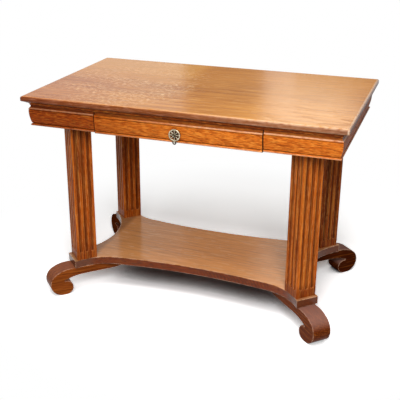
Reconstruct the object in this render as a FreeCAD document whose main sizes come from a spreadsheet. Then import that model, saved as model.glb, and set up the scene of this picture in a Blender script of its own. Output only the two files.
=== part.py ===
"""Library table: moulded oak top and frieze, one drawer, fluted columns, hollowed shelf and scroll feet.

Frame: +X to the table's right, +Y to its back, +Z up, origin on the floor under the middle of the top.
All sizes are in millimetres and live in the sheet; every piece is bound to them by formulas.
"""
import FreeCAD, Part
import math
import os
import re

import Sketcher

SIZES = {
    # Top board and its moulded edge
    "top_length": 1104,
    "top_depth": 668,
    "top_thick": 22,
    "top_overhang": 18,
    "nose_round_top": 7.5,
    "nose_round_low": 4.5,
    "nose_low_height": 3,
    "edge_bevel": 10,
    # Frieze boards, measured in from the shoulder and up from the bottom edge
    "apron_height": 84,
    "apron_thick": 24,
    "neck_inset": 6,
    "shoulder_height": 60,
    "shoulder_flat": 8,
    "chamfer_rise": 7,
    "bead_height": 2,
    "quirk_depth": 2,
    "quirk_width": 2.5,
    "face_inset": 6.5,
    "face_foot": 9.5,
    "notch_inset": 10,
    "notch_height": 7.5,
    "lip_inset": 3,
    "lip_height": 6,
    "lip_round": 2,
    # Bed mould in the neck, under the top
    "bed_height": 13,
    "bed_reach": 5,
    "bed_fillet": 2,
    "bed_foot": 1.5,
    # Height of the legs
    "foot_height": 102,
    "shelf_thick": 30,
    "column_length": 568,
    "rail_thick": 40,
    # Columns, with their axes measured in from the ends and the front of the top, and their flutes
    "column_end_inset": 142,
    "column_front_inset": 128,
    "column_side": 76,
    "column_arris": 2.5,
    "flute_pitch": 22,
    "flute_width": 13,
    "flute_depth": 4.5,
    "flute_stop": 28,
    # Shelf outline, with its waists and turns measured in from the columns' axes
    "shelf_corner_margin": 10,
    "shelf_side_margin": 4,
    "shelf_end_waist": 27,
    "shelf_front_waist": 44,
    "shelf_turn": 120,
    "shelf_middle_radius": 2000,
    "shelf_arris": 1.5,
    # Scroll feet, measured out from the column's axis along the diagonal
    "foot_width": 68,
    "arm_thick": 30,
    "arm_reach": 66,
    "scroll_drop": 8,
    "roll_reach": 96,
    "curl_reach": 84.5,
    "curl_radius": 27,
    "eye_reach": 88,
    "eye_radius": 2,
    "underside_turn": 15,
    "tail_flat": 100,
    "tail_length": 175,
    "tail_tip": 6,
    "foot_arris": 1.5,
    # Hidden frame
    "rail_gap": 31,
    "rail_outer": 60,
    "corner_leg": 60,
    "corner_block_height": 34,
    "post_width": 30,
    "post_depth": 36,
    "top_rail_thick": 14,
    "bearer_lift": 2,
    "bearer_thick": 10,
    "runner_under": 20,
    "guide_thick": 16,
    "guide_rise": 32,
    # Drawer
    "opening_end_inset": 263,
    "drawer_gap": 1.8,
    "drawer_drop": 3,
    "front_gap": 1.5,
    "stop_gap": 0.5,
    "box_inset": 1,
    "guide_gap": 0.8,
    "run_gap": 0.3,
    "head_gap": 2,
    "drawer_depth": 430,
    "side_thick": 12,
    "back_thick": 12,
    "back_low": 6,
    "bottom_thick": 6,
    "groove_lift": 5,
    "groove_depth": 5,
    "groove_gap": 0.15,
    # Pull
    "pull_height": 28,
    "pull_seat_inset": 3.8,
    "pull_seat_diameter": 15.4,
    "post_shank_diameter": 6,
    "post_fit": 0.2,
    "flange_diameter": 14,
    "flange_thick": 2,
    "neck_diameter": 10,
    "neck_length": 8,
    "spigot_diameter": 6,
    "spigot_fit": 0.05,
    "head_diameter": 11,
    "head_rise": 3,
    "rosette_diameter": 40,
    "rosette_thick": 2.2,
    "rim_width": 3,
    "rim_rise": 0.9,
    "web_crown": 1,
    "hub_diameter": 14,
    "hub_thick": 4.2,
    "opening_inner": 8.8,
    "opening_outer": 14.6,
    "opening_inner_width": 3,
    "opening_outer_width": 6.6,
    "opening_crown": 1.6,
    "lug_width": 5,
    "lug_thick": 3.6,
    "lug_overlap": 1.5,
    "pivot_drop": 2.8,
    "lug_wall": 2,
    "pin_diameter": 2.4,
    "pin_fit": 0.05,
    "pin_press": 0.02,
    "pin_end": 0.4,
    "drop_width": 14,
    "drop_thick": 3.4,
    "drop_ear": 1.7,
    "drop_straight": 4.5,
    "drop_crown": 4.6,
    "drop_slot_width": 5.8,
    "drop_slot_length": 3.8,
    "drop_slot_crown": 2,
    "nut_width": 10,
    "nut_thick": 5,
    "nut_recess": 7,
    "nut_recess_diameter": 14,
    "shank_end": 1,
    # Bolts and screws
    "bolt_diameter": 8,
    "bolt_head_width": 13,
    "bolt_head_height": 6,
    "bolt_recess": 10,
    "bolt_recess_diameter": 22,
    "bolt_bite": 50,
    "screw_diameter": 5,
    "screw_head_diameter": 9.5,
    "screw_head_height": 4,
    "screw_recess_diameter": 11,
    "screw_bite": 12,
    "screw_room": 2,
    "hole_fit": 0.3,
    "foot_screw_reach": 70,
    "top_screw_web": 18,
    "top_screw_edge": 20,
    "top_screw_y": 90,
}

FLUTES_PER_FACE = 3
COLUMN_FACES = 4
ROSETTE_OPENINGS = 8
HEX_SIDES = 6
TRIM = 5.0
TOUCH = 0.01

# Levels, from the floor up
SHELF_TOP = "(foot_height + shelf_thick)"
RAIL_LOW = "(foot_height + shelf_thick + column_length)"
TOP_LOW = "(foot_height + shelf_thick + column_length + rail_thick)"
APRON_LOW = f"({TOP_LOW} - apron_height)"
BEARER_LOW = f"({APRON_LOW} + bearer_lift)"
BEARER_TOP = f"({APRON_LOW} + bearer_lift + bearer_thick)"
ARM_LOW = "(foot_height - arm_thick)"

# Frieze planes: outer shoulder and inner face
SHOULDER_X = "(top_length / 2 - top_overhang)"
SHOULDER_Y = "(top_depth / 2 - top_overhang)"
INNER_X = "(top_length / 2 - top_overhang - apron_thick)"
INNER_Y = "(top_depth / 2 - top_overhang - apron_thick)"

# Runs of the frieze: half its length, the middle of its shoulder and the turn of its face
FRIEZE_RUNS = {
    "front": (SHOULDER_X, "0", f"0 - {SHOULDER_Y}", 0),
    "back": (SHOULDER_X, "0", SHOULDER_Y, 180),
    "left": (SHOULDER_Y, f"0 - {SHOULDER_X}", "0", -90),
    "right": (SHOULDER_Y, SHOULDER_X, "0", 90),
}

# Radius of the bed mould's cove, from its width and height
BED_WIDE = "(bed_reach + neck_inset - bed_foot)"
BED_COVE = f"(({BED_WIDE}^2 + (bed_height - bed_fillet)^2) / (2 * {BED_WIDE}))"

# Column axes, the drawer opening and the cross rails between it and the ends
COLUMN_X = "(top_length / 2 - column_end_inset)"
COLUMN_Y = "(top_depth / 2 - column_front_inset)"
OPENING = "(top_length / 2 - opening_end_inset)"
RAIL_INNER = f"({OPENING} + post_width + rail_gap)"
RAIL_OUTER = f"({COLUMN_X} + rail_outer)"
TOP_SCREWS_X = (f"({RAIL_INNER} + top_screw_edge)", f"({RAIL_OUTER} - top_screw_edge)")

# Drawer box
FRONT_THICK = "(apron_thick - stop_gap)"
FRONT_BACK = f"(0 - {INNER_Y} - stop_gap)"
FRONT_LOW = f"({APRON_LOW} - drawer_drop)"
FRONT_HEIGHT = "(apron_height + drawer_drop - bed_height - front_gap)"
BOX_HALF = f"({OPENING} - drawer_gap - box_inset)"
BOX_LOW = f"({BEARER_TOP} + run_gap)"
BOX_TOP = f"({TOP_LOW} - top_rail_thick - head_gap)"
BOX_END = f"({FRONT_BACK} + drawer_depth)"
PANEL_LOW = f"({BOX_LOW} + groove_lift + groove_gap)"

# Pull: its axis, its seat on the drawer front and the drop's pivot
PULL_Z = f"({FRONT_LOW} + pull_height)"
SEAT_Y = f"(pull_seat_inset - {SHOULDER_Y})"
PIVOT_BELOW = "(rosette_diameter / 2 + pivot_drop)"
PIVOT_OUT = "(neck_length + lug_thick / 2)"

# Half of a square's diagonal step: a length along the diagonal times this is its share in X and in Y
DIAGONAL = "sqrt(0.5)"

CORNERS = {
    "front_left": (-1, -1, -135),
    "front_right": (1, -1, -45),
    "back_left": (-1, 1, 135),
    "back_right": (1, 1, 45),
}
SIDES = {"left": -1, "right": 1}

doc = FreeCAD.newDocument("library_table")
sheet = doc.addObject("Spreadsheet::Sheet", "Sizes")
subparts = []


def fill_sheet():
    """Write each size into its own cell, with its name as the cell's alias."""
    for row, (alias, number) in enumerate(SIZES.items(), start=1):
        sheet.set(f"A{row}", alias)
        sheet.set(f"B{row}", str(number))
        sheet.setAlias(f"B{row}", alias)
    doc.recompute()


def in_sheet(formula):
    """Point every size named in a formula at its cell."""
    words = r"[a-z_]+"
    return re.sub(words, lambda word: f"Sizes.{word[0]}" if word[0] in SIZES else word[0], str(formula))


def value(formula):
    """Work out a formula with the sheet's present numbers."""
    return float(sheet.evalExpression(in_sheet(formula)))


def bind(obj, prop, formula):
    """Tie a property to a formula of named sizes."""
    obj.setExpression(prop, in_sheet(formula))


def place(obj, x, y, z, axis=(0, 0, 1), turn=0.0):
    """Turn an object about an axis and tie its place to three formulas."""
    rotation = FreeCAD.Rotation(FreeCAD.Vector(*axis), turn)
    obj.Placement = FreeCAD.Placement(FreeCAD.Vector(), rotation)
    for letter, formula in zip("xyz", (x, y, z)):
        bind(obj, f"Placement.Base.{letter}", formula)


def keep(obj, label):
    """Name a finished piece and put it on the list of pieces to write."""
    obj.Label = label
    subparts.append(obj)
    return obj


def new_body(label, x="0", y="0", z="0", axis=(0, 0, 1), turn=0.0):
    """Start a piece as a body at its place in the table."""
    body = keep(doc.addObject("PartDesign::Body", label), label)
    place(body, x, y, z, axis, turn)
    return body


def origin_feature(body, role):
    """One of the body's own origin planes or axes."""
    return next(item for item in body.Origin.OriginFeatures if item.Role == role)


def minor_arc(start, end, radius, side):
    """An arc of less than half a turn that bulges to the left (1) or right (-1) of its way."""
    chord = end - start
    half = chord.Length / 2
    left = FreeCAD.Vector(-chord.y, chord.x, 0).normalize()
    centre = (start + end) * 0.5 - left * (side * math.sqrt(radius * radius - half * half))
    first, last = (start, end) if side < 0 else (end, start)
    angles = [math.atan2(spot.y - centre.y, spot.x - centre.x) for spot in (first, last)]
    return Part.ArcOfCircle(Part.Circle(centre, FreeCAD.Vector(0, 0, 1), radius), *angles)


def draw_loop(sketch, corners):
    """Draw one closed outline whose corners are tied to formulas.

    A corner is (x, y), with a line to the next corner, or (x, y, radius, side), with an arc to it.
    """
    spots = [FreeCAD.Vector(value(corner[0]), value(corner[1]), 0) for corner in corners]
    ends = []
    for index, corner in enumerate(corners):
        start = spots[index]
        end = spots[(index + 1) % len(spots)]
        if len(corner) == 2:
            edge = sketch.addGeometry(Part.LineSegment(start, end), False)
            ends.append((edge, 1, 2))
            continue
        edge = sketch.addGeometry(minor_arc(start, end, value(corner[2]), corner[3]), False)
        ends.append((edge, 1, 2) if corner[3] < 0 else (edge, 2, 1))
    for index, corner in enumerate(corners):
        edge, first, last = ends[index]
        following, next_first, _ = ends[(index + 1) % len(ends)]
        sketch.addConstraint(Sketcher.Constraint("Coincident", edge, last, following, next_first))
        for kind, formula, number in zip(("DistanceX", "DistanceY"), corner, spots[index]):
            rule = sketch.addConstraint(Sketcher.Constraint(kind, -1, 1, edge, first, number))
            bind(sketch, f"Constraints[{rule}]", formula)
        if len(corner) > 2:
            rule = sketch.addConstraint(Sketcher.Constraint("Radius", edge, value(corner[2])))
            bind(sketch, f"Constraints[{rule}]", corner[2])


def draw_circles(sketch, centres, diameter):
    """Draw equal circles at the given centres."""
    for x, y in centres:
        centre = FreeCAD.Vector(value(x), value(y), 0)
        ring = sketch.addGeometry(Part.Circle(centre, FreeCAD.Vector(0, 0, 1), value(diameter) / 2), False)
        for kind, formula, number in (("DistanceX", x, centre.x), ("DistanceY", y, centre.y)):
            rule = sketch.addConstraint(Sketcher.Constraint(kind, -1, 1, ring, 3, number))
            bind(sketch, f"Constraints[{rule}]", formula)
        rule = sketch.addConstraint(Sketcher.Constraint("Diameter", ring, value(diameter)))
        bind(sketch, f"Constraints[{rule}]", diameter)


def new_sketch(body, plane, name, offset="0", spin=0.0, across="0"):
    """Start a sketch on one of the body's origin planes, moved along and across it by formulas."""
    sketch = body.newObject("Sketcher::SketchObject", name)
    sketch.AttachmentSupport = [(origin_feature(body, plane), "")]
    sketch.MapMode = "FlatFace"
    turn = FreeCAD.Rotation(FreeCAD.Vector(0, 0, 1), spin)
    sketch.AttachmentOffset = FreeCAD.Placement(FreeCAD.Vector(), turn)
    bind(sketch, "AttachmentOffset.Base.z", offset)
    bind(sketch, "AttachmentOffset.Base.x", across)
    return sketch


def pad(body, sketch, length, symmetric=False, reverse=False):
    """Raise a sketch to a length."""
    feature = body.newObject("PartDesign::Pad", f"{body.Name}_pad")
    feature.Profile = sketch
    feature.SideType = "Symmetric" if symmetric else "One side"
    feature.Reversed = reverse
    bind(feature, "Length", length)
    doc.recompute()
    return feature


def must_shrink(body, before):
    """Stop if a cut took nothing away."""
    if body.Shape.Volume >= before:
        raise RuntimeError(f"a cut missed {body.Label}")


def pocket(body, sketch, length, symmetric=False, reverse=False):
    """Sink a sketch into its body, against the sketch's normal unless reversed."""
    before = body.Shape.Volume
    feature = body.newObject("PartDesign::Pocket", f"{body.Name}_pocket")
    feature.Profile = sketch
    feature.SideType = "Symmetric" if symmetric else "One side"
    feature.Reversed = reverse
    bind(feature, "Length", length)
    doc.recompute()
    must_shrink(body, before)
    return feature


def drill(body, plane, name, centres, diameter, depth, offset="0", reverse=False):
    """Sink round holes into a body from a plane at an offset."""
    sketch = new_sketch(body, plane, name, offset)
    draw_circles(sketch, centres, diameter)
    return pocket(body, sketch, depth, reverse=reverse)


def polar_copies(body, features, count):
    """Repeat features round the body's own Z axis."""
    before = body.Shape.Volume
    pattern = body.newObject("PartDesign::PolarPattern", f"{body.Name}_round")
    pattern.Originals = features
    pattern.Axis = (origin_feature(body, "Z_Axis"), [""])
    pattern.Angle = 360
    pattern.Occurrences = count
    body.Tip = pattern
    doc.recompute()
    must_shrink(body, before)


def ease(body, kind, prop, size, wanted):
    """Fillet or chamfer the edges of the body that the wanted test picks."""
    tip = body.Tip
    names = [f"Edge{index}" for index, edge in enumerate(tip.Shape.Edges, start=1) if wanted(edge)]
    feature = body.newObject(f"PartDesign::{kind}", f"{body.Name}_arris")
    feature.Base = (tip, names)
    bind(feature, prop, size)
    body.Tip = feature
    doc.recompute()


def box(name, low, high):
    """A plain board between two corners given as formulas."""
    board = doc.addObject("Part::Box", name)
    for prop, start, end in zip(("Length", "Width", "Height"), low, high):
        bind(board, prop, f"({end}) - ({start})")
    place(board, *low)
    return board


def rod(name, base, radius, length, axis=(0, 0, 1), turn=0.0):
    """A round bar from a base point, along Z unless turned."""
    bar = doc.addObject("Part::Cylinder", name)
    bind(bar, "Radius", radius)
    bind(bar, "Height", length)
    place(bar, *base, axis, turn)
    return bar


def hexagon(name, base, width, length, axis=(0, 0, 1), turn=0.0):
    """A hexagonal bar of a given width across its flats."""
    bar = doc.addObject("Part::Prism", name)
    bar.Polygon = HEX_SIDES
    bind(bar, "Circumradius", f"{width} / sqrt(3)")
    bind(bar, "Height", length)
    place(bar, *base, axis, turn)
    return bar


def group(name, members):
    """Several solids as one object."""
    bundle = doc.addObject("Part::Compound", name)
    bundle.Links = members
    return bundle


def joined(name, base, tool):
    """Two solids as one."""
    both = doc.addObject("Part::Fuse", name)
    both.Base = base
    both.Tool = tool
    return both


def less(label, blank, tools):
    """A finished piece: a blank with the tools cut out of it."""
    piece = doc.addObject("Part::Cut", label)
    piece.Base = blank
    piece.Tool = group(f"{label}_tools", tools)
    return keep(piece, label)


def edge_run(outer, sign):
    """Outline of the top's moulded edge from its underside to its upper face, on the side of the sign."""
    turn = -1 if sign < 0 else 1
    return [
        (f"{sign} * ({outer} - edge_bevel)", "0"),
        (f"{sign} * ({outer} - nose_round_low)", "nose_low_height", "nose_round_low", turn * -1),
        (f"{sign} * {outer}", "nose_low_height + nose_round_low"),
        (f"{sign} * {outer}", "top_thick - nose_round_top", "nose_round_top", turn * -1),
        (f"{sign} * ({outer} - nose_round_top)", "top_thick"),
    ]


def reversed_run(corners):
    """The same run drawn from its other end, with arcs handed to their new starts."""
    flipped = []
    for index in range(len(corners) - 1, -1, -1):
        arc = corners[index - 1][2:] if index > 0 else ()
        spot = corners[index][:2]
        flipped.append(spot + (arc[0], -arc[1]) if arc else spot)
    return flipped


def make_top():
    """The top board: its section is swept the long way, then the ends are cut to the same edge."""
    body = new_body("top_panel", z=TOP_LOW)
    section = new_sketch(body, "YZ_Plane", "top_section")
    half_depth = "(top_depth / 2)"
    draw_loop(section, edge_run(half_depth, 1) + reversed_run(edge_run(half_depth, -1)))
    pad(body, section, f"top_length + {2 * TRIM}", symmetric=True)
    half_length = "(top_length / 2)"
    for name, sign in SIDES.items():
        waste = new_sketch(body, "XZ_Plane", f"top_end_{name}")
        beyond = f"{sign} * ({half_length} + {2 * TRIM})"
        run = edge_run(half_length, sign)
        draw_loop(waste, run + [(beyond, "top_thick"), (beyond, "0")])
        pocket(body, waste, f"top_depth + {2 * TRIM}", symmetric=True)
    spots = [(f"{sx} * {x}", f"{sy} * top_screw_y")
             for sx in (-1, 1) for x in TOP_SCREWS_X for sy in (-1, 1)]
    drill(body, "XY_Plane", "top_pilots", spots, "screw_diameter + hole_fit", "screw_bite + screw_room",
          reverse=True)


def frieze_section(sketch, thick, height):
    """Section of a frieze board: neck, chamfered bead, quirk, cushion face, notch and lip."""
    face_low = "(shoulder_height - shoulder_flat)"
    cushion = f"((({face_low} - face_foot)^2 + face_inset^2) / (2 * face_inset))"
    draw_loop(sketch, [
        (thick, "0"),
        (thick, height),
        ("neck_inset", height),
        ("neck_inset", "shoulder_height + chamfer_rise"),
        ("0", "shoulder_height"),
        ("0", "shoulder_height - bead_height"),
        ("quirk_depth", "shoulder_height - bead_height - quirk_width / 2"),
        ("0", "shoulder_height - bead_height - quirk_width"),
        ("0", face_low, cushion, -1),
        ("face_inset", "face_foot"),
        ("notch_inset", "notch_height"),
        ("lip_inset + lip_round", "lip_height", "lip_round", 1),
        ("lip_inset", "lip_height - lip_round"),
        ("lip_inset", "lip_round", "lip_round", 1),
        ("lip_inset + lip_round", "0"),
    ])


def bed_section(sketch):
    """Section of the bed mould: a cove between the neck and the underside of the top."""
    hollow = "(bed_height - bed_fillet)"
    draw_loop(sketch, [
        ("neck_inset", "0"),
        ("neck_inset", "bed_height"),
        ("0 - bed_reach", "bed_height"),
        ("0 - bed_reach", hollow, BED_COVE, 1),
        ("neck_inset - bed_foot", "0"),
    ])


def mitre(body, name, corner, sign, height):
    """Cut one end of a mitred board to 45 degrees, back from its outer corner."""
    spare = 2 * TRIM
    sketch = new_sketch(body, "XY_Plane", name, offset=f"0 - {TRIM}")
    outer = f"({sign} * ({corner} + {spare}))"
    inner = f"({sign} * ({corner} - apron_thick - {spare}))"
    back = f"apron_thick + {spare}"
    draw_loop(sketch, [(outer, f"0 - {spare}"), (inner, back), (outer, back)])
    pocket(body, sketch, f"{height} + {2 * TRIM}", reverse=True)


def make_frieze():
    """Frieze boards round the table, with the front left open for the drawer."""
    for side in ("back", "left", "right"):
        half, x, y, turn = FRIEZE_RUNS[side]
        label = f"apron_{side}"
        body = new_body(label, x, y, APRON_LOW, turn=turn)
        section = new_sketch(body, "YZ_Plane", f"{label}_section")
        frieze_section(section, "apron_thick", "apron_height")
        pad(body, section, f"2 * {half}", symmetric=True)
        for name, sign in SIDES.items():
            mitre(body, f"{label}_mitre_{name}", half, sign, "apron_height")
    for name, sign in SIDES.items():
        body = new_body(f"apron_front_{name}", "0", f"0 - {SHOULDER_Y}", APRON_LOW)
        section = new_sketch(body, "YZ_Plane", f"apron_front_{name}_section", f"{sign} * {OPENING}")
        frieze_section(section, "apron_thick", "apron_height")
        pad(body, section, f"{SHOULDER_X} - {OPENING}", reverse=sign < 0)
        mitre(body, f"apron_front_{name}_mitre", SHOULDER_X, sign, "apron_height")


def make_bed_mould():
    """Bed mould round the table, mitred at the corners and whole over the drawer."""
    for side, (half, x, y, turn) in FRIEZE_RUNS.items():
        label = f"bed_mould_{side}"
        body = new_body(label, x, y, f"{TOP_LOW} - bed_height", turn=turn)
        section = new_sketch(body, "YZ_Plane", f"{label}_section")
        bed_section(section)
        pad(body, section, f"2 * ({half} + bed_reach)", symmetric=True)
        for name, sign in SIDES.items():
            mitre(body, f"{label}_mitre_{name}", half, sign, "bed_height")


def make_frame():
    """Hidden frame under the top: cross rails, posts, drawer rails, runners, kickers and corner blocks."""
    for name, sign in SIDES.items():
        near = f"{sign} * {RAIL_INNER}"
        far = f"{sign} * {RAIL_OUTER}"
        left, right = (far, near) if sign < 0 else (near, far)
        blank = box(f"column_rail_{name}_blank", (left, f"0 - {INNER_Y}", RAIL_LOW),
                    (right, INNER_Y, TOP_LOW))
        tools = []
        for sy in (-1, 1):
            spot = (f"{sign} * {COLUMN_X}", f"{sy} * {COLUMN_Y}")
            tools.append(rod("bolt_recess", (*spot, f"{TOP_LOW} - bolt_recess"), "bolt_recess_diameter / 2",
                             f"bolt_recess + {TRIM}"))
            tools.append(rod("bolt_hole", (*spot, f"{RAIL_LOW} - {TRIM}"), "(bolt_diameter + hole_fit) / 2",
                             f"rail_thick + {TRIM}"))
            for x in TOP_SCREWS_X:
                spot = (f"{sign} * {x}", f"{sy} * top_screw_y")
                tools.append(rod("screw_recess", (*spot, f"{RAIL_LOW} - {TRIM}"),
                                 "screw_recess_diameter / 2", f"rail_thick - top_screw_web + {TRIM}"))
                tools.append(rod("screw_hole", (*spot, RAIL_LOW), "(screw_diameter + hole_fit) / 2",
                                 f"rail_thick + {TRIM}"))
        less(f"column_rail_{name}", blank, tools)
        near = f"{sign} * {OPENING}"
        far = f"{sign} * ({OPENING} + post_width)"
        left, right = (far, near) if sign < 0 else (near, far)
        keep(box(f"drawer_post_{name}", (left, f"0 - {INNER_Y}", BEARER_LOW),
                 (right, f"post_depth - {INNER_Y}", TOP_LOW)), f"drawer_post_{name}")
        make_runner(name, sign)
    keep(box("front_top_rail", (f"0 - {OPENING}", f"0 - {INNER_Y}", f"{TOP_LOW} - top_rail_thick"),
             (OPENING, f"post_depth - {INNER_Y}", TOP_LOW)), "front_top_rail")
    keep(box("front_bearer", (f"0 - {OPENING}", f"0 - {INNER_Y}", BEARER_LOW),
             (OPENING, f"post_depth - {INNER_Y}", BEARER_TOP)), "front_bearer")
    for place_name, (sx, sy, turn) in CORNERS.items():
        body = new_body(f"corner_block_{place_name}", f"{sx} * {INNER_X}", f"{sy} * {INNER_Y}",
                        f"{RAIL_LOW} - corner_block_height", turn=turn - 45)
        sketch = new_sketch(body, "XY_Plane", f"corner_block_{place_name}_plan")
        draw_loop(sketch, [("0", "0"), ("0 - corner_leg", "0"), ("0", "0 - corner_leg")])
        pad(body, sketch, "corner_block_height")


def make_runner(name, sign):
    """A drawer runner with its side guide, and the kicker above it."""
    inner = f"{sign} * ({BOX_HALF} - runner_under)"
    guide = f"{sign} * ({BOX_HALF} + guide_gap)"
    outer = f"{sign} * ({BOX_HALF} + guide_gap + guide_thick)"
    body = new_body(f"drawer_runner_{name}")
    section = new_sketch(body, "XZ_Plane", f"drawer_runner_{name}_section", f"0 - {INNER_Y}")
    draw_loop(section, [
        (inner, BEARER_LOW),
        (outer, BEARER_LOW),
        (outer, f"{BEARER_TOP} + guide_rise"),
        (guide, f"{BEARER_TOP} + guide_rise"),
        (guide, BEARER_TOP),
        (inner, BEARER_TOP),
    ])
    pad(body, section, f"2 * {INNER_Y} - post_depth")
    left, right = (outer, inner) if sign < 0 else (inner, outer)
    keep(box(f"drawer_kicker_{name}", (left, f"post_depth - {INNER_Y}", f"{TOP_LOW} - top_rail_thick"),
             (right, INNER_Y, TOP_LOW)), f"drawer_kicker_{name}")


def make_columns():
    """Square columns turned on the diagonal, with stopped flutes and bolt holes in both ends."""
    flute_radius = "((flute_width^2 / 4 + flute_depth^2) / (2 * flute_depth))"
    axis_out = f"(0 - (column_side / 2 + {flute_radius} - flute_depth))"
    edge = "(column_side / 2)"
    flat = "(column_side / 2 - column_arris)"
    hole = "bolt_diameter + hole_fit"
    hole_depth = "bolt_bite + screw_room"
    for place_name, (sx, sy, _) in CORNERS.items():
        label = f"column_{place_name}"
        body = new_body(label, f"{sx} * {COLUMN_X}", f"{sy} * {COLUMN_Y}", SHELF_TOP, turn=45)
        plan = new_sketch(body, "XY_Plane", f"{label}_plan")
        draw_loop(plan, [
            (f"0 - {flat}", f"0 - {edge}"),
            (flat, f"0 - {edge}", "column_arris", -1),
            (edge, f"0 - {flat}"),
            (edge, flat, "column_arris", -1),
            (flat, edge),
            (f"0 - {flat}", edge, "column_arris", -1),
            (f"0 - {edge}", flat),
            (f"0 - {edge}", f"0 - {flat}", "column_arris", -1),
        ])
        pad(body, plan, "column_length")
        flutes = []
        for index in range(FLUTES_PER_FACE):
            step = index - (FLUTES_PER_FACE - 1) / 2
            half = new_sketch(body, "YZ_Plane", f"{label}_flute_{index}", f"{step} * flute_pitch",
                              across=axis_out)
            draw_loop(half, [
                ("0", "flute_stop", flute_radius, -1),
                (flute_radius, f"flute_stop + {flute_radius}"),
                (flute_radius, f"column_length - flute_stop - {flute_radius}", flute_radius, -1),
                ("0", "column_length - flute_stop"),
            ])
            groove = body.newObject("PartDesign::Groove", f"{label}_groove")
            before = body.Shape.Volume
            groove.Profile = half
            groove.ReferenceAxis = (half, ["V_Axis"])
            groove.Angle = 360
            doc.recompute()
            must_shrink(body, before)
            flutes.append(groove)
        polar_copies(body, flutes, COLUMN_FACES)
        drill(body, "XY_Plane", f"{label}_low_hole", [("0", "0")], hole, hole_depth, reverse=True)
        drill(body, "XY_Plane", f"{label}_high_hole", [("0", "0")], hole, hole_depth, "column_length")


def make_shelf():
    """The shelf: hollowed sides, corners cut square to the diagonals, soft arrises."""
    reach = "(column_side / 2 + shelf_corner_margin)"
    half = "(column_side / 2 + shelf_side_margin)"
    far_x = f"({COLUMN_X} + ({reach} + {half}) * {DIAGONAL})"
    near_x = f"({COLUMN_X} + ({reach} - {half}) * {DIAGONAL})"
    far_y = f"({COLUMN_Y} + ({reach} + {half}) * {DIAGONAL})"
    near_y = f"({COLUMN_Y} + ({reach} - {half}) * {DIAGONAL})"
    hollow = f"({far_x} - {COLUMN_X} + shelf_end_waist)"
    middle_half = f"({COLUMN_X} - shelf_turn)"
    end_radius = f"(({near_y}^2 + {hollow}^2) / (2 * {hollow}))"
    # The long sides are a flat middle arc that runs smoothly into a tighter arc at each corner
    middle_cos = f"sqrt(1 - ({middle_half} / shelf_middle_radius)^2)"
    turn_y = f"({COLUMN_Y} - shelf_front_waist + shelf_middle_radius * (1 - {middle_cos}))"
    run = f"({near_x} - {middle_half})"
    rise = f"({far_y} - {turn_y})"
    square_rise = f"({rise} * {middle_cos} - {run} * {middle_half} / shelf_middle_radius)"
    corner_radius = f"(({run}^2 + {rise}^2) / (2 * {square_rise}))"
    body = new_body("shelf", z="foot_height")
    plan = new_sketch(body, "XY_Plane", "shelf_plan")
    draw_loop(plan, [
        (f"0 - {near_x}", f"0 - {far_y}", corner_radius, 1),
        (f"0 - {middle_half}", f"0 - {turn_y}", "shelf_middle_radius", 1),
        (middle_half, f"0 - {turn_y}", corner_radius, 1),
        (near_x, f"0 - {far_y}"),
        (far_x, f"0 - {near_y}", end_radius, 1),
        (far_x, near_y),
        (near_x, far_y, corner_radius, 1),
        (middle_half, turn_y, "shelf_middle_radius", 1),
        (f"0 - {middle_half}", turn_y, corner_radius, 1),
        (f"0 - {near_x}", far_y),
        (f"0 - {far_x}", near_y, end_radius, 1),
        (f"0 - {far_x}", f"0 - {near_y}"),
    ])
    pad(body, plan, "shelf_thick")
    bolts = [(f"{sx} * {COLUMN_X}", f"{sy} * {COLUMN_Y}") for sx, sy, _ in CORNERS.values()]
    drill(body, "XY_Plane", "shelf_bolt_holes", bolts, "bolt_diameter + hole_fit", f"shelf_thick + {TRIM}",
          reverse=True)
    inward = f"foot_screw_reach * {DIAGONAL}"
    screws = [(f"{sx} * ({COLUMN_X} - {inward})", f"{sy} * ({COLUMN_Y} - {inward})")
              for sx, sy, _ in CORNERS.values()]
    drill(body, "XY_Plane", "shelf_pilots", screws, "screw_diameter + hole_fit", "screw_bite + screw_room",
          reverse=True)
    ease(body, "Chamfer", "Size", "shelf_arris", lambda edge: len(edge.Vertexes) == 2
         and abs(edge.Vertexes[0].Z - edge.Vertexes[1].Z) < TOUCH)


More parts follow.
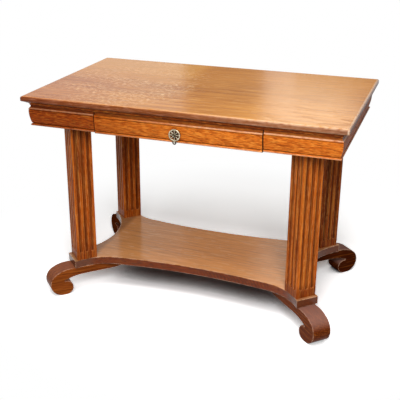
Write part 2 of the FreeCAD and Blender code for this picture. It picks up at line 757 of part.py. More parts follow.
def make_feet():
    """Scroll feet: an arm under the shelf that rolls down to the floor and curls back to a small eye."""
    roll = "((foot_height - scroll_drop) / 2)"
    ahead = "(roll_reach - arm_reach)"
    below = f"(foot_height - {roll})"
    # The shoulder arc leaves the arm's flat top and runs smoothly into the roll
    shoulder = f"(({ahead}^2 + {below}^2 - {roll}^2) / (2 * scroll_drop))"
    spread = f"({roll} / ({shoulder} - {roll}))"
    meet_x = f"(roll_reach + {ahead} * {spread})"
    meet_z = f"({roll} + ({shoulder} - {below}) * {spread})"
    # The eye touches the curl below it and the arm's hollow underside above it
    eye_ahead = "(eye_reach - curl_reach)"
    eye_span = "(curl_radius + eye_radius)"
    eye_z = f"(curl_radius + sqrt({eye_span}^2 - {eye_ahead}^2))"
    curl_end_x = f"(curl_reach + {eye_ahead} * curl_radius / {eye_span})"
    curl_end_z = f"(curl_radius + ({eye_z} - curl_radius) * curl_radius / {eye_span})"
    slope_run = "(eye_reach - underside_turn)"
    slope_fall = f"({ARM_LOW} - {eye_z})"
    underside = f"(({slope_run}^2 + {slope_fall}^2 - eye_radius^2) / (2 * ({slope_fall} - eye_radius)))"
    eye_share = f"(eye_radius / ({underside} - eye_radius))"
    eye_end_x = f"(eye_reach + {slope_run} * {eye_share})"
    eye_end_z = f"({eye_z} + ({underside} - {slope_fall}) * {eye_share})"
    tail_run = "(tail_length - tail_flat)"
    tail_rise = "(arm_thick - tail_tip)"
    tail = f"(({tail_run}^2 + {tail_rise}^2) / (2 * {tail_rise}))"
    half_width = value("foot_width") / 2

    def on_side(edge):
        """Whether an edge lies in one of the two side faces."""
        spots = [edge.Vertexes[0].Point, edge.Vertexes[-1].Point,
                 edge.valueAt((edge.FirstParameter + edge.LastParameter) / 2)]
        return all(abs(abs(spot.y) - half_width) < TOUCH for spot in spots)

    for place_name, (sx, sy, turn) in CORNERS.items():
        label = f"scroll_foot_{place_name}"
        body = new_body(label, f"{sx} * {COLUMN_X}", f"{sy} * {COLUMN_Y}", turn=turn)
        profile = new_sketch(body, "XZ_Plane", f"{label}_profile")
        draw_loop(profile, [
            ("0 - tail_length", "foot_height"),
            ("arm_reach", "foot_height", shoulder, 1),
            (meet_x, meet_z, roll, 1),
            ("roll_reach", "0"),
            ("curl_reach", "0", "curl_radius", 1),
            ("curl_reach - curl_radius", "curl_radius", "curl_radius", 1),
            (curl_end_x, curl_end_z, "eye_radius", -1),
            (eye_end_x, eye_end_z, underside, -1),
            ("underside_turn", ARM_LOW),
            ("0 - tail_flat", ARM_LOW, tail, 1),
            ("0 - tail_length", "foot_height - tail_tip"),
        ])
        pad(body, profile, "foot_width", symmetric=True)
        axis = [("0", "0")]
        drill(body, "XY_Plane", f"{label}_bolt_recess", axis, "bolt_recess_diameter", "bolt_recess",
              ARM_LOW, reverse=True)
        drill(body, "XY_Plane", f"{label}_bolt_hole", axis, "bolt_diameter + hole_fit",
              f"arm_thick + {TRIM}", ARM_LOW, reverse=True)
        spot = [("0 - foot_screw_reach", "0")]
        drill(body, "XY_Plane", f"{label}_screw_recess", spot, "screw_recess_diameter", "bolt_recess",
              ARM_LOW, reverse=True)
        drill(body, "XY_Plane", f"{label}_screw_hole", spot, "screw_diameter + hole_fit",
              f"arm_thick + {TRIM}", ARM_LOW, reverse=True)
        ease(body, "Fillet", "Radius", "foot_arris", on_side)


def make_drawer():
    """The drawer: a length of the frieze as its front, and a plain box behind it."""
    body = new_body("drawer_front", "0", f"0 - {SHOULDER_Y}", FRONT_LOW)
    section = new_sketch(body, "YZ_Plane", "drawer_front_section")
    frieze_section(section, FRONT_THICK, FRONT_HEIGHT)
    pad(body, section, f"2 * ({OPENING} - drawer_gap)", symmetric=True)
    centre = [("0", "pull_height")]
    drill(body, "XZ_Plane", "pull_seat", centre, "pull_seat_diameter", f"pull_seat_inset + {TRIM}",
          "0 - pull_seat_inset", reverse=True)
    drill(body, "XZ_Plane", "pull_hole", centre, "post_shank_diameter + 2 * post_fit", "apron_thick")
    drill(body, "XZ_Plane", "nut_recess", centre, "nut_recess_diameter", f"nut_recess + {TRIM}",
          f"nut_recess - {FRONT_THICK}")
    inside = f"({BOX_HALF} - side_thick)"
    for name, sign in SIDES.items():
        near = f"{sign} * {inside}"
        far = f"{sign} * {BOX_HALF}"
        deep = f"{sign} * ({inside} + groove_depth)"
        left, right = (far, near) if sign < 0 else (near, far)
        blank = box(f"drawer_side_{name}_blank", (left, FRONT_BACK, BOX_LOW), (right, BOX_END, BOX_TOP))
        shy = f"{sign} * ({inside} - {TRIM})"
        left, right = (deep, shy) if sign < 0 else (shy, deep)
        groove = box(f"drawer_groove_{name}", (left, f"{FRONT_BACK} - {TRIM}", f"{PANEL_LOW} - groove_gap"),
                     (right, f"{BOX_END} + {TRIM}", f"{PANEL_LOW} + bottom_thick + groove_gap"))
        less(f"drawer_side_{name}", blank, [groove])
    panel_half = f"({inside} + groove_depth - 2 * groove_gap)"
    keep(box("drawer_bottom", (f"0 - {panel_half}", FRONT_BACK, PANEL_LOW),
             (panel_half, BOX_END, f"{PANEL_LOW} + bottom_thick")), "drawer_bottom")
    keep(box("drawer_back", (f"0 - {inside}", f"{BOX_END} - back_thick", f"{PANEL_LOW} + bottom_thick"),
             (inside, BOX_END, f"{BOX_TOP} - back_low")), "drawer_back")


def revolve(body, sketch):
    """Turn a half section round the body's Z axis."""
    feature = body.newObject("PartDesign::Revolution", f"{body.Name}_turned")
    feature.Profile = sketch
    feature.ReferenceAxis = (sketch, ["V_Axis"])
    feature.Angle = 360
    doc.recompute()


def make_pull():
    """The pull: a pierced rosette on a turned post, with a slotted drop hung from a lug on its rim."""
    front = {"axis": (1, 0, 0), "turn": 90.0}
    body = new_body("pull_post", "0", SEAT_Y, PULL_Z, **front)
    half = new_sketch(body, "XZ_Plane", "pull_post_half")
    head_low = "(neck_length + hub_thick)"
    shank = f"({FRONT_THICK} - pull_seat_inset - shank_end)"
    dome = "((head_diameter^2 / 4 + head_rise^2) / (2 * head_rise))"
    draw_loop(half, [
        ("0", f"0 - {shank}"),
        ("post_shank_diameter / 2", f"0 - {shank}"),
        ("post_shank_diameter / 2", "0"),
        ("flange_diameter / 2", "0"),
        ("flange_diameter / 2", "flange_thick"),
        ("neck_diameter / 2", "flange_thick"),
        ("neck_diameter / 2", "neck_length"),
        ("spigot_diameter / 2", "neck_length"),
        ("spigot_diameter / 2", head_low),
        ("head_diameter / 2", head_low, dome, -1),
        ("0", f"{head_low} + head_rise"),
    ])
    revolve(body, half)
    make_rosette(front)
    body = new_body("pull_drop", "0", f"{SEAT_Y} - {PIVOT_OUT}", f"{PULL_Z} - {PIVOT_BELOW}", **front)
    plate = new_sketch(body, "XY_Plane", "pull_drop_plate")
    bottom = "((drop_width^2 / 4 + drop_crown^2) / (2 * drop_crown))"
    slot = "((drop_slot_width^2 / 4 + drop_slot_crown^2) / (2 * drop_slot_crown))"
    draw_loop(plate, [
        ("0 - drop_width / 2", "drop_ear"),
        ("0 - drop_width / 2", "0 - drop_straight", bottom, -1),
        ("drop_width / 2", "0 - drop_straight"),
        ("drop_width / 2", "drop_ear"),
        ("drop_slot_width / 2", "drop_ear"),
        ("drop_slot_width / 2", "0 - drop_slot_length", slot, 1),
        ("0 - drop_slot_width / 2", "0 - drop_slot_length"),
        ("0 - drop_slot_width / 2", "drop_ear"),
    ])
    pad(body, plate, "drop_thick", symmetric=True)
    hole = new_sketch(body, "YZ_Plane", "pull_drop_pin_hole")
    draw_circles(hole, [("0", "0")], "pin_diameter + 2 * pin_press")
    pocket(body, hole, f"drop_width + {TRIM}", symmetric=True)
    pivot = (f"{SEAT_Y} - {PIVOT_OUT}", f"{PULL_Z} - {PIVOT_BELOW}")
    keep(rod("pull_pin", ("0 - drop_width / 2 - pin_end", *pivot), "pin_diameter / 2",
             "drop_width + 2 * pin_end", (0, 1, 0), 90.0), "pull_pin")
    nut_y = f"{FRONT_THICK} - {SHOULDER_Y} - nut_recess"
    blank = hexagon("pull_nut_blank", ("0", nut_y, PULL_Z), "nut_width", "nut_thick", (1, 0, 0), -90.0)
    bore = rod("pull_nut_bore", ("0", f"{nut_y} - {TRIM}", PULL_Z), "post_shank_diameter / 2 + spigot_fit",
               f"nut_thick + {2 * TRIM}", (1, 0, 0), -90.0)
    less("pull_nut", blank, [bore])


def make_rosette(front):
    """The pierced rosette, its hub on the post and its lug under the rim."""
    body = new_body("pull_rosette", "0", f"{SEAT_Y} - neck_length", PULL_Z, **front)
    half = new_sketch(body, "XZ_Plane", "pull_rosette_half")
    outer = "(rosette_diameter / 2)"
    bore = "(spigot_diameter / 2 + spigot_fit)"
    rim = "((rim_width^2 / 4 + rim_rise^2) / (2 * rim_rise))"
    web_half = f"(({outer} - rim_width - hub_diameter / 2) / 2)"
    web = f"(({web_half}^2 + web_crown^2) / (2 * web_crown))"
    draw_loop(half, [
        (bore, "0"),
        (outer, "0"),
        (outer, "rosette_thick", rim, -1),
        (f"{outer} - rim_width", "rosette_thick", web, -1),
        ("hub_diameter / 2", "rosette_thick"),
        ("hub_diameter / 2", "hub_thick"),
        (bore, "hub_thick"),
    ])
    revolve(body, half)
    opening = new_sketch(body, "XY_Plane", "pull_rosette_opening", spin=180.0 / ROSETTE_OPENINGS)
    crown = "((opening_outer_width^2 / 4 + opening_crown^2) / (2 * opening_crown))"
    draw_loop(opening, [
        ("0 - opening_inner_width / 2", "opening_inner"),
        ("opening_inner_width / 2", "opening_inner"),
        ("opening_outer_width / 2", "opening_outer", crown, -1),
        ("0 - opening_outer_width / 2", "opening_outer"),
    ])
    cut = pocket(body, opening, f"2 * hub_thick + {TRIM}", symmetric=True)
    polar_copies(body, [cut], ROSETTE_OPENINGS)
    lug = new_sketch(body, "XY_Plane", "pull_rosette_lug")
    lug_high = f"lug_overlap - {outer}"
    lug_low = f"0 - {PIVOT_BELOW} - lug_wall"
    draw_loop(lug, [
        ("0 - lug_width / 2", lug_low),
        ("lug_width / 2", lug_low),
        ("lug_width / 2", lug_high),
        ("0 - lug_width / 2", lug_high),
    ])
    pad(body, lug, "lug_thick")
    hole = new_sketch(body, "YZ_Plane", "pull_rosette_pin_hole")
    draw_circles(hole, [(f"0 - {PIVOT_BELOW}", "lug_thick / 2")], "pin_diameter + 2 * pin_fit")
    pocket(body, hole, f"lug_width + {TRIM}", symmetric=True)


def bolt(name, x, y, bearing, length, direction, hexed):
    """One bolt or screw: its head on the near side of the bearing plane, its shank beyond it."""
    turn = 0.0 if direction > 0 else 180.0
    kind = "bolt" if hexed else "screw"
    head_base = (x, y, f"{bearing} - {direction} * {kind}_head_height")
    if hexed:
        head = hexagon(f"{name}_head", head_base, "bolt_head_width", "bolt_head_height", (1, 0, 0), turn)
    else:
        head = rod(f"{name}_head", head_base, "screw_head_diameter / 2", "screw_head_height",
                   (1, 0, 0), turn)
    shank = rod(f"{name}_shank", (x, y, bearing), f"{kind}_diameter / 2", length, (1, 0, 0), turn)
    return joined(name, head, shank)


def make_fasteners():
    """Bolts and screws, one group for each kind of place."""
    rail_seat = f"({TOP_LOW} - bolt_recess)"
    arm_seat = f"({ARM_LOW} + bolt_recess)"
    web_seat = f"({TOP_LOW} - top_screw_web)"
    inward = f"foot_screw_reach * {DIAGONAL}"
    column_bolts = []
    foot_bolts = []
    foot_screws = []
    top_screws = []
    for place_name, (sx, sy, _) in CORNERS.items():
        x = f"{sx} * {COLUMN_X}"
        y = f"{sy} * {COLUMN_Y}"
        column_bolts.append(bolt(f"column_bolt_{place_name}", x, y, rail_seat,
                                 "rail_thick - bolt_recess + bolt_bite", -1, True))
        foot_bolts.append(bolt(f"foot_bolt_{place_name}", x, y, arm_seat,
                               "arm_thick - bolt_recess + shelf_thick + bolt_bite", 1, True))
        foot_screws.append(bolt(f"foot_screw_{place_name}", f"{sx} * ({COLUMN_X} - {inward})",
                                f"{sy} * ({COLUMN_Y} - {inward})", arm_seat,
                                "arm_thick - bolt_recess + screw_bite", 1, False))
        for index, screw_x in enumerate(TOP_SCREWS_X):
            top_screws.append(bolt(f"top_screw_{place_name}_{index}", f"{sx} * {screw_x}",
                                   f"{sy} * top_screw_y", web_seat, "top_screw_web + screw_bite", 1, False))
    for label, members in (("column_bolts", column_bolts), ("foot_bolts", foot_bolts),
                           ("foot_screws", foot_screws), ("top_screws", top_screws)):
        keep(group(label, members), label)


def check_model():
    """Stop if any object failed to build or any piece has no sound shape."""
    for obj in doc.Objects:
        if "Invalid" in obj.State or "Error" in obj.State:
            raise RuntimeError(f"{obj.Label} failed: {obj.State}")
    for piece in subparts:
        if piece.Shape.isNull() or not piece.Shape.isValid() or not piece.Shape.Solids:
            raise RuntimeError(f"{piece.Label} has no sound solid")


def write_pieces():
    """Write each piece to a file that bears its name."""
    os.makedirs("parts", exist_ok=True)
    for piece in subparts:
        piece.Shape.exportStep(os.path.join("parts", f"{piece.Label}.step"))


fill_sheet()
make_top()
make_frieze()
make_bed_mould()
make_frame()
make_columns()
make_shelf()
make_feet()
make_drawer()
make_pull()
make_fasteners()
doc.recompute()
check_model()
write_pieces()
for finished in subparts:
    print(f"{finished.Label}: {len(finished.Shape.Solids)} solids, {finished.Shape.Volume:.0f} mm3")
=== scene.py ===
"""Dress the library table: varnished oak, a cast brass pull, a pale studio and a fixed camera."""

import logging
import math
from collections.abc import Callable
from dataclasses import dataclass, replace
from enum import Enum
from functools import reduce

import bpy
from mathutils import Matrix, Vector


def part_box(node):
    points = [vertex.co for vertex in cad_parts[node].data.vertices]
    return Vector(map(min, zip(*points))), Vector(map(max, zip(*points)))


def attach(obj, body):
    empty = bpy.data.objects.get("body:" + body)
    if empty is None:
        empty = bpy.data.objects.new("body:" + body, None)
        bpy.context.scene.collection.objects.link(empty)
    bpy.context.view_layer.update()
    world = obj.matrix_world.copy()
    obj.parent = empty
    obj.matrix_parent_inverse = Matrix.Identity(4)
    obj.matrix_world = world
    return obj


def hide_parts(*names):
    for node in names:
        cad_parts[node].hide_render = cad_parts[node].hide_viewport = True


LOG = logging.getLogger("library_table")
MM = 0.001
QUARTER_TURN = math.pi / 2
EIGHTH_TURN = math.pi / 4
STILL = (0.0, 0.0, 0.0)
EVEN = (1.0, 1.0, 1.0)
WHITE = (1.0, 1.0, 1.0)
FACING_FRONT = (QUARTER_TURN, 0.0, 0.0)
SIDES = ("left", "right")
MIX_SHARE, MIX_UNDER, MIX_OVER, MIX_RESULT = 0, 6, 7, 2
PLAIN, ROUGH, FINE = 1.0, 2.0, 3.0
EDGE_SAMPLES = 6
NOISE_MEAN = 0.5
MERGE_WITHIN = 0.002 * MM

Colour = tuple[float, float, float]
Triple = tuple[float, float, float]
Pair = tuple[float, float]
Piece = bpy.types.Object
Socket = bpy.types.NodeSocket
Level = Socket | float
Feed = Socket | float | Triple


class Grain(Enum):
    """Which way a board lies: the turn that brings its length, width and thickness onto X, Y and Z."""

    LENGTHWISE = (0.0, 0.0, 0.0)
    CROSSWISE = (0.0, 0.0, -QUARTER_TURN)
    UPRIGHT = (0.0, QUARTER_TURN, 0.0)
    FRONT_FACE = (-QUARTER_TURN, 0.0, 0.0)
    END_FACE = (-QUARTER_TURN, -QUARTER_TURN, 0.0)
    RISING_DIAGONAL = (0.0, 0.0, -EIGHTH_TURN)
    FALLING_DIAGONAL = (0.0, 0.0, EIGHTH_TURN)


class Corner(Enum):
    """The table's four corners, with the sides they lie on along X and Y."""

    FRONT_LEFT = (-1, -1)
    FRONT_RIGHT = (1, -1)
    BACK_LEFT = (-1, 1)
    BACK_RIGHT = (1, 1)

    @property
    def node_end(self) -> str:
        """The ending that this corner's nodes carry in their names."""
        return self.name.lower()


class Way(Enum):
    """The axis that a mark is measured along."""

    X = 0
    Y = 1
    Z = 2


class Stain(Enum):
    """Whether a layer covers the grain or lets it show through."""

    COVERS = "MIX"
    TINTS = "MULTIPLY"


class Outline(Enum):
    """The shape of a lamp's face."""

    SQUARE = "RECTANGLE"
    ROUND = "ELLIPSE"


class Parts(Enum):
    """Whether noise has one part or three."""

    ONE = "Fac"
    THREE = "Color"


class Fusing(Enum):
    """Whether a tool is joined to a piece or cut out of it."""

    JOINED = "UNION"
    CUT_OUT = "DIFFERENCE"


class NodeGraph:
    """A tree of shader nodes, with short calls for the patterns that the finishes share."""

    def __init__(self, tree: bpy.types.NodeTree) -> None:
        """Start with the empty tree of a material or of the sky."""
        self.tree = tree
        self.tree.nodes.clear()

    def join(self, source: Feed, target: Socket) -> None:
        """Link a socket to an input, or set a plain value on it.

        Args:
            source: A socket, a number, a vector or a colour.
            target: The input that takes it.
        """
        if isinstance(source, Socket):
            self.tree.links.new(source, target)
        else:
            target.default_value = (*source, 1.0) if target.type == "RGBA" else source

    def add(self, kind: str, inputs: dict[str | int, Feed] | None = None,
            **settings: object) -> bpy.types.Node:
        """Add one node.

        Args:
            kind: The node's type, without the beginning that all types share.
            inputs: What its inputs take, by name or number.
            settings: Its own settings, which are made first.

        Returns:
            The node.
        """
        node = self.tree.nodes.new(f"ShaderNode{kind}")
        for name, value in settings.items():
            setattr(node, name, value)
        for name, source in (inputs or {}).items():
            self.join(source, node.inputs[name])
        return node

    def place(self, turn: Triple = STILL, shift: Triple = STILL) -> Socket:
        """The piece's own coordinates, turned and shifted.

        Args:
            turn: Turn about X, Y and Z in radians.
            shift: Shift in metres, after the turn.

        Returns:
            The placed coordinates.
        """
        own = self.add("TexCoord").outputs["Object"]
        placed = self.add("Mapping", {"Vector": own, "Location": shift, "Rotation": turn})
        return placed.outputs["Vector"]

    def vector(self, operation: str, *vectors: Feed) -> Socket:
        """One step of vector arithmetic, which gives a number for LENGTH and DOT_PRODUCT."""
        node = self.add("VectorMath", dict(enumerate(vectors)), operation=operation)
        return node.outputs["Value" if operation in ("LENGTH", "DOT_PRODUCT") else "Vector"]

    def math(self, operation: str, *values: Level) -> Socket:
        """One step of arithmetic on one to three values."""
        return self.add("Math", dict(enumerate(values)), operation=operation).outputs["Value"]

    def times(self, *values: Level) -> Socket:
        """The product of two or more values."""
        return reduce(lambda product, value: self.math("MULTIPLY", product, value), values)

    def away(self, value: Level, middle: float) -> Socket:
        """How far a value lies from a middle, to either side."""
        return self.math("ABSOLUTE", self.math("SUBTRACT", value, middle))

    def sway(self, level: Level, noise: Socket, share: float) -> Socket:
        """A level moved up and down by a share of some noise."""
        return self.math("MULTIPLY_ADD", self.math("SUBTRACT", noise, NOISE_MEAN), share, level)

    def at_least(self, level: Socket, least: float) -> Socket:
        """A level from 0 to 1, squeezed so that it runs from a least value to 1."""
        return self.math("MULTIPLY_ADD", level, 1.0 - least, least)

    def axes(self, source: Socket) -> tuple[Socket, ...]:
        """The X, Y and Z of a vector."""
        return tuple(self.add("SeparateXYZ", {0: source}).outputs)

    def facing_up(self) -> Socket:
        """How far the surface faces upwards: 1 on a level top, 0 on an upright face."""
        return self.axes(self.add("NewGeometry").outputs["Normal"])[Way.Z.value]

    def arris(self, radius: float) -> Socket:
        """How near the surface lies to one of the piece's own edges.

        Args:
            radius: How far from an edge the result begins, in metres.

        Returns:
            0 on a flat face, rising to about 0.3 on a square edge.
        """
        eased = self.add("Bevel", {"Radius": radius}, samples=EDGE_SAMPLES).outputs["Normal"]
        true = self.add("NewGeometry").outputs["Normal"]
        return self.math("SUBTRACT", 1.0, self.vector("DOT_PRODUCT", eased, true))

    def noise(self, place: Socket, stretch: Triple, detail: float = ROUGH,
              parts: Parts = Parts.ONE) -> Socket:
        """Cloudy noise with a count of blotches per metre on each axis.

        Args:
            place: Coordinates in metres.
            stretch: Blotches per metre along X, Y and Z.
            detail: How many finer layers are added.
            parts: Whether the noise has one part or three.

        Returns:
            The noise, about 0.5 on average.
        """
        spot = self.vector("MULTIPLY", place, stretch)
        node = self.add("TexNoise", {"Vector": spot, "Scale": 1.0, "Detail": detail})
        return node.outputs[parts.value]

    def streaks(self, place: Socket, size: Pair, detail: float = ROUGH,
                parts: Parts = Parts.ONE) -> Socket:
        """Noise drawn out along the grain, with its blotches per metre along and across it."""
        along, across = size
        return self.noise(place, (along, across, across), detail, parts)

    def step(self, value: Level, begin: float, full: float) -> Socket:
        """A smooth rise from 0 to 1 between two values, or a fall where the first is above the second.

        Args:
            value: The value tested.
            begin: Where the result is 0.
            full: Where the result is 1.

        Returns:
            The step.
        """
        near, far, start, end = (begin, full, 0.0, 1.0) if begin < full else (full, begin, 1.0, 0.0)
        limits = {"From Min": near, "From Max": far, "To Min": start, "To Max": end}
        node = self.add("MapRange", {"Value": value, **limits}, interpolation_type="SMOOTHSTEP")
        return node.outputs["Result"]

    def ramp(self, value: Level, stops: list[tuple[float, Colour]]) -> Socket:
        """A colour picked from a graded strip.

        Args:
            value: Where on the strip, from 0 to 1.
            stops: Places and colours.

        Returns:
            The colour.
        """
        node = self.add("ValToRGB", {"Fac": value})
        strip = node.color_ramp.elements
        while len(strip) < len(stops):
            strip.new(0.5)
        for element, (spot, shade) in zip(strip, stops):
            element.position = spot
            element.color = (*shade, 1.0)
        return node.outputs["Color"]

    def blend(self, share: Level, under: Feed, over: Feed, stain: Stain = Stain.COVERS) -> Socket:
        """Lay one colour over another by a share, as a cover or as a tint."""
        inputs = {MIX_SHARE: share, MIX_UNDER: under, MIX_OVER: over}
        return self.add("Mix", inputs, data_type="RGBA", blend_type=stain.value).outputs[MIX_RESULT]

    def seen(self) -> Socket:
        """Whether a ray comes from the camera, a mirror or glass.

        Returns:
            1 for such a ray and 0 for the light that falls on the object.
        """
        path = self.add("LightPath").outputs
        mirrored = self.math("MAXIMUM", path["Is Camera Ray"], path["Is Glossy Ray"])
        return self.math("MAXIMUM", mirrored, path["Is Transmission Ray"])

    def mix(self, share: Level, under: Socket, over: Socket) -> Socket:
        """One shader shown in place of another, by a share."""
        return self.add("MixShader", {"Fac": share, 1: under, 2: over}).outputs["Shader"]


class ShaderGraph(NodeGraph):
    """A material's nodes, which end in one glossy surface."""

    def __init__(self, name: str) -> None:
        """Start a material.

        Args:
            name: The material's name.
        """
        self.material = bpy.data.materials.new(name)
        self.material.use_nodes = True
        super().__init__(self.material.node_tree)
        self.surface = self.add("BsdfPrincipled")
        self.output = self.add("OutputMaterial", {"Surface": self.surface.outputs["BSDF"]})

    def give(self, inputs: dict[str, Feed]) -> None:
        """Set what the glossy surface takes, by the names of its inputs."""
        for name, source in inputs.items():
            self.join(source, self.surface.inputs[name])

    def bump(self, height: Socket, depth: float, strength: float) -> None:
        """Roughen the surface by a height pattern, with a depth in metres and a strength."""
        node = self.add("Bump", {"Height": height, "Distance": depth, "Strength": strength})
        self.give({"Normal": node.outputs["Normal"]})

    def end_in(self, shader: Socket) -> None:
        """Show another shader in place of the glossy surface."""
        self.tree.nodes.remove(self.surface)
        self.join(shader, self.output.inputs["Surface"])


class Layer:
    """Wear, figure, painted shade and painted highlights that are laid over the wood's colour."""

    colour: Colour
    share: float
    stain: Stain = Stain.COVERS

    def cover(self, graph: NodeGraph) -> Socket:
        """Where the layer lies.

        Args:
            graph: The material's nodes.

        Returns:
            1 where it lies in full, 0 where there is none of it.
        """
        raise NotImplementedError

    def lay(self, graph: NodeGraph, colour: Socket) -> Socket:
        """Lay this over a colour.

        Args:
            graph: The material's nodes.
            colour: The colour beneath.

        Returns:
            The colour with the layer on it.
        """
        return graph.blend(graph.times(self.cover(graph), self.share), colour, self.colour, self.stain)


@dataclass(frozen=True)
class Mark(Layer):
    """A stripe at one place along an axis of the table, used for wear, painted shade and painted
    highlights.
    """

    way: Way
    middle: float
    full: float
    fade: float
    colour: Colour
    share: float = 1.0
    broken: float = 0.0
    stain: Stain = Stain.COVERS
    from_left: Pair | None = None
    gap_size: Triple = (70.0, 70.0, 160.0)
    gap_full: float = 0.62

    def cover(self, graph: NodeGraph) -> Socket:
        """A stripe that fades to both sides, with gaps or an end where the mark has them.

        Args:
            graph: The material's nodes.

        Returns:
            The stripe.
        """
        own = graph.place()
        spots = graph.axes(own)
        away = graph.away(spots[self.way.value], self.middle)
        cover = graph.step(away, self.full + self.fade, self.full)
        if self.broken:
            noise = graph.noise(own, self.gap_size, FINE)
            cover = graph.times(cover, graph.step(noise, NOISE_MEAN - self.broken, self.gap_full))
        if self.from_left:
            cover = graph.times(cover, graph.step(spots[Way.X.value], *self.from_left))
        return cover

    def raised(self, height: float) -> "Mark":
        """The same stripe with its place measured from a height."""
        return replace(self, middle=self.middle + height)


@dataclass(frozen=True)
class RoundMark(Layer):
    """A round patch of painted shade on an upright face."""

    across: float
    height: float
    radius: float
    fade: float
    colour: Colour
    share: float

    def cover(self, graph: NodeGraph) -> Socket:
        """A disc with a soft rim.

        Args:
            graph: The material's nodes.

        Returns:
            The disc.
        """
        own = graph.place(shift=(-self.across, 0.0, -self.height))
        away = graph.vector("LENGTH", graph.vector("MULTIPLY", own, (1.0, 0.0, 1.0)))
        return graph.step(away, self.radius + self.fade, self.radius)


@dataclass(frozen=True)
class PaintedSheen(Layer):
    """A painted sheen on the faces that look upwards."""

    colour: Colour
    share: float
    begin: float
    full: float = 0.9

    def cover(self, graph: NodeGraph) -> Socket:
        """The faces that look upwards."""
        return graph.step(graph.facing_up(), self.begin, self.full)


@dataclass(frozen=True)
class Dashes(Layer):
    """Short crisp dashes of darker or paler wood along the grain."""

    size: Pair
    begin: float
    full: float
    colour: Colour
    share: float
    grain: Grain = Grain.LENGTHWISE
    below: float | None = None
    below_fade: float = 2.0 * MM
    shift: Triple = (0.37, 0.11, 0.23)

    def cover(self, graph: NodeGraph) -> Socket:
        """The peaks of a streaky noise, below a height where one is given.

        Args:
            graph: The material's nodes.

        Returns:
            The dashes.
        """
        along, across = self.size
        shift = (self.shift[0] + along, self.shift[1] + across, self.shift[2])
        noise = graph.streaks(graph.place(self.grain.value, shift), self.size)
        cover = graph.step(noise, self.begin, self.full)
        if self.below is not None:
            height = graph.axes(graph.place())[Way.Z.value]
            cover = graph.times(cover, graph.step(height, self.below, self.below - self.below_fade))
        return cover


@dataclass(frozen=True)
class Flame(Layer):
    """Dark bars of flame grain where a curved front edge is sawn across the rings."""

    middle: float
    reach: float
    pitch: float
    top: float
    colour: Colour
    share: float
    lean: float = 0.5
    wander: float = 2.4
    wander_size: Triple = (12.0, 12.0, 50.0)
    bar: Pair = (0.3, 0.16)
    core: float = 0.4
    top_fade: float = 1.0 * MM
    front: Pair = (0.05, -0.05)

    def cover(self, graph: NodeGraph) -> Socket:
        """Leaning bars that wander, within a reach of the middle and below the top.

        Args:
            graph: The material's nodes.

        Returns:
            The bars.
        """
        own = graph.place()
        along, across, up = graph.axes(own)
        count = graph.math("DIVIDE", graph.math("MULTIPLY_ADD", up, self.lean, along), self.pitch)
        count = graph.math("MULTIPLY_ADD", graph.noise(own, self.wander_size), self.wander, count)
        bars = graph.step(graph.away(graph.math("FRACT", count), 0.5), *self.bar)
        within = graph.step(graph.away(along, self.middle), self.reach, self.core * self.reach)
        under = graph.step(up, self.top, self.top - self.top_fade)
        return graph.times(bars, within, under, graph.step(across, *self.front))


@dataclass(frozen=True)
class FluteShade(Layer):
    """Painted shade in the flutes of a square column that stands on the diagonal."""

    centre: Pair
    half_side: float
    depth: float
    colour: Colour
    share: float
    clean: float = 0.4 * MM

    def cover(self, graph: NodeGraph) -> Socket:
        """What lies below the column's flat faces.

        Args:
            graph: The material's nodes.

        Returns:
            The hollows.
        """
        across, deep, _ = graph.axes(graph.place((0.0, 0.0, EIGHTH_TURN)))
        x, y = self.centre
        slant = math.cos(EIGHTH_TURN)
        out_x, out_y = graph.away(across, (x - y) * slant), graph.away(deep, (x + y) * slant)
        below = graph.math("SUBTRACT", self.half_side, graph.math("MAXIMUM", out_x, out_y))
        return graph.step(below, self.clean, self.depth)


@dataclass(frozen=True)
class EdgeWear(Layer):
    """Polish rubbed thin along a piece's edges."""

    radius: float
    colour: Colour
    share: float
    bend: Pair = (0.004, 0.05)
    gap_size: Triple = (45.0, 45.0, 45.0)
    gap: Pair = (0.34, 0.58)

    def cover(self, graph: NodeGraph) -> Socket:
        """The edges, with gaps in the wear."""
        gaps = graph.step(graph.noise(graph.place(), self.gap_size, FINE), *self.gap)
        return graph.times(graph.step(graph.arris(self.radius), *self.bend), gaps)


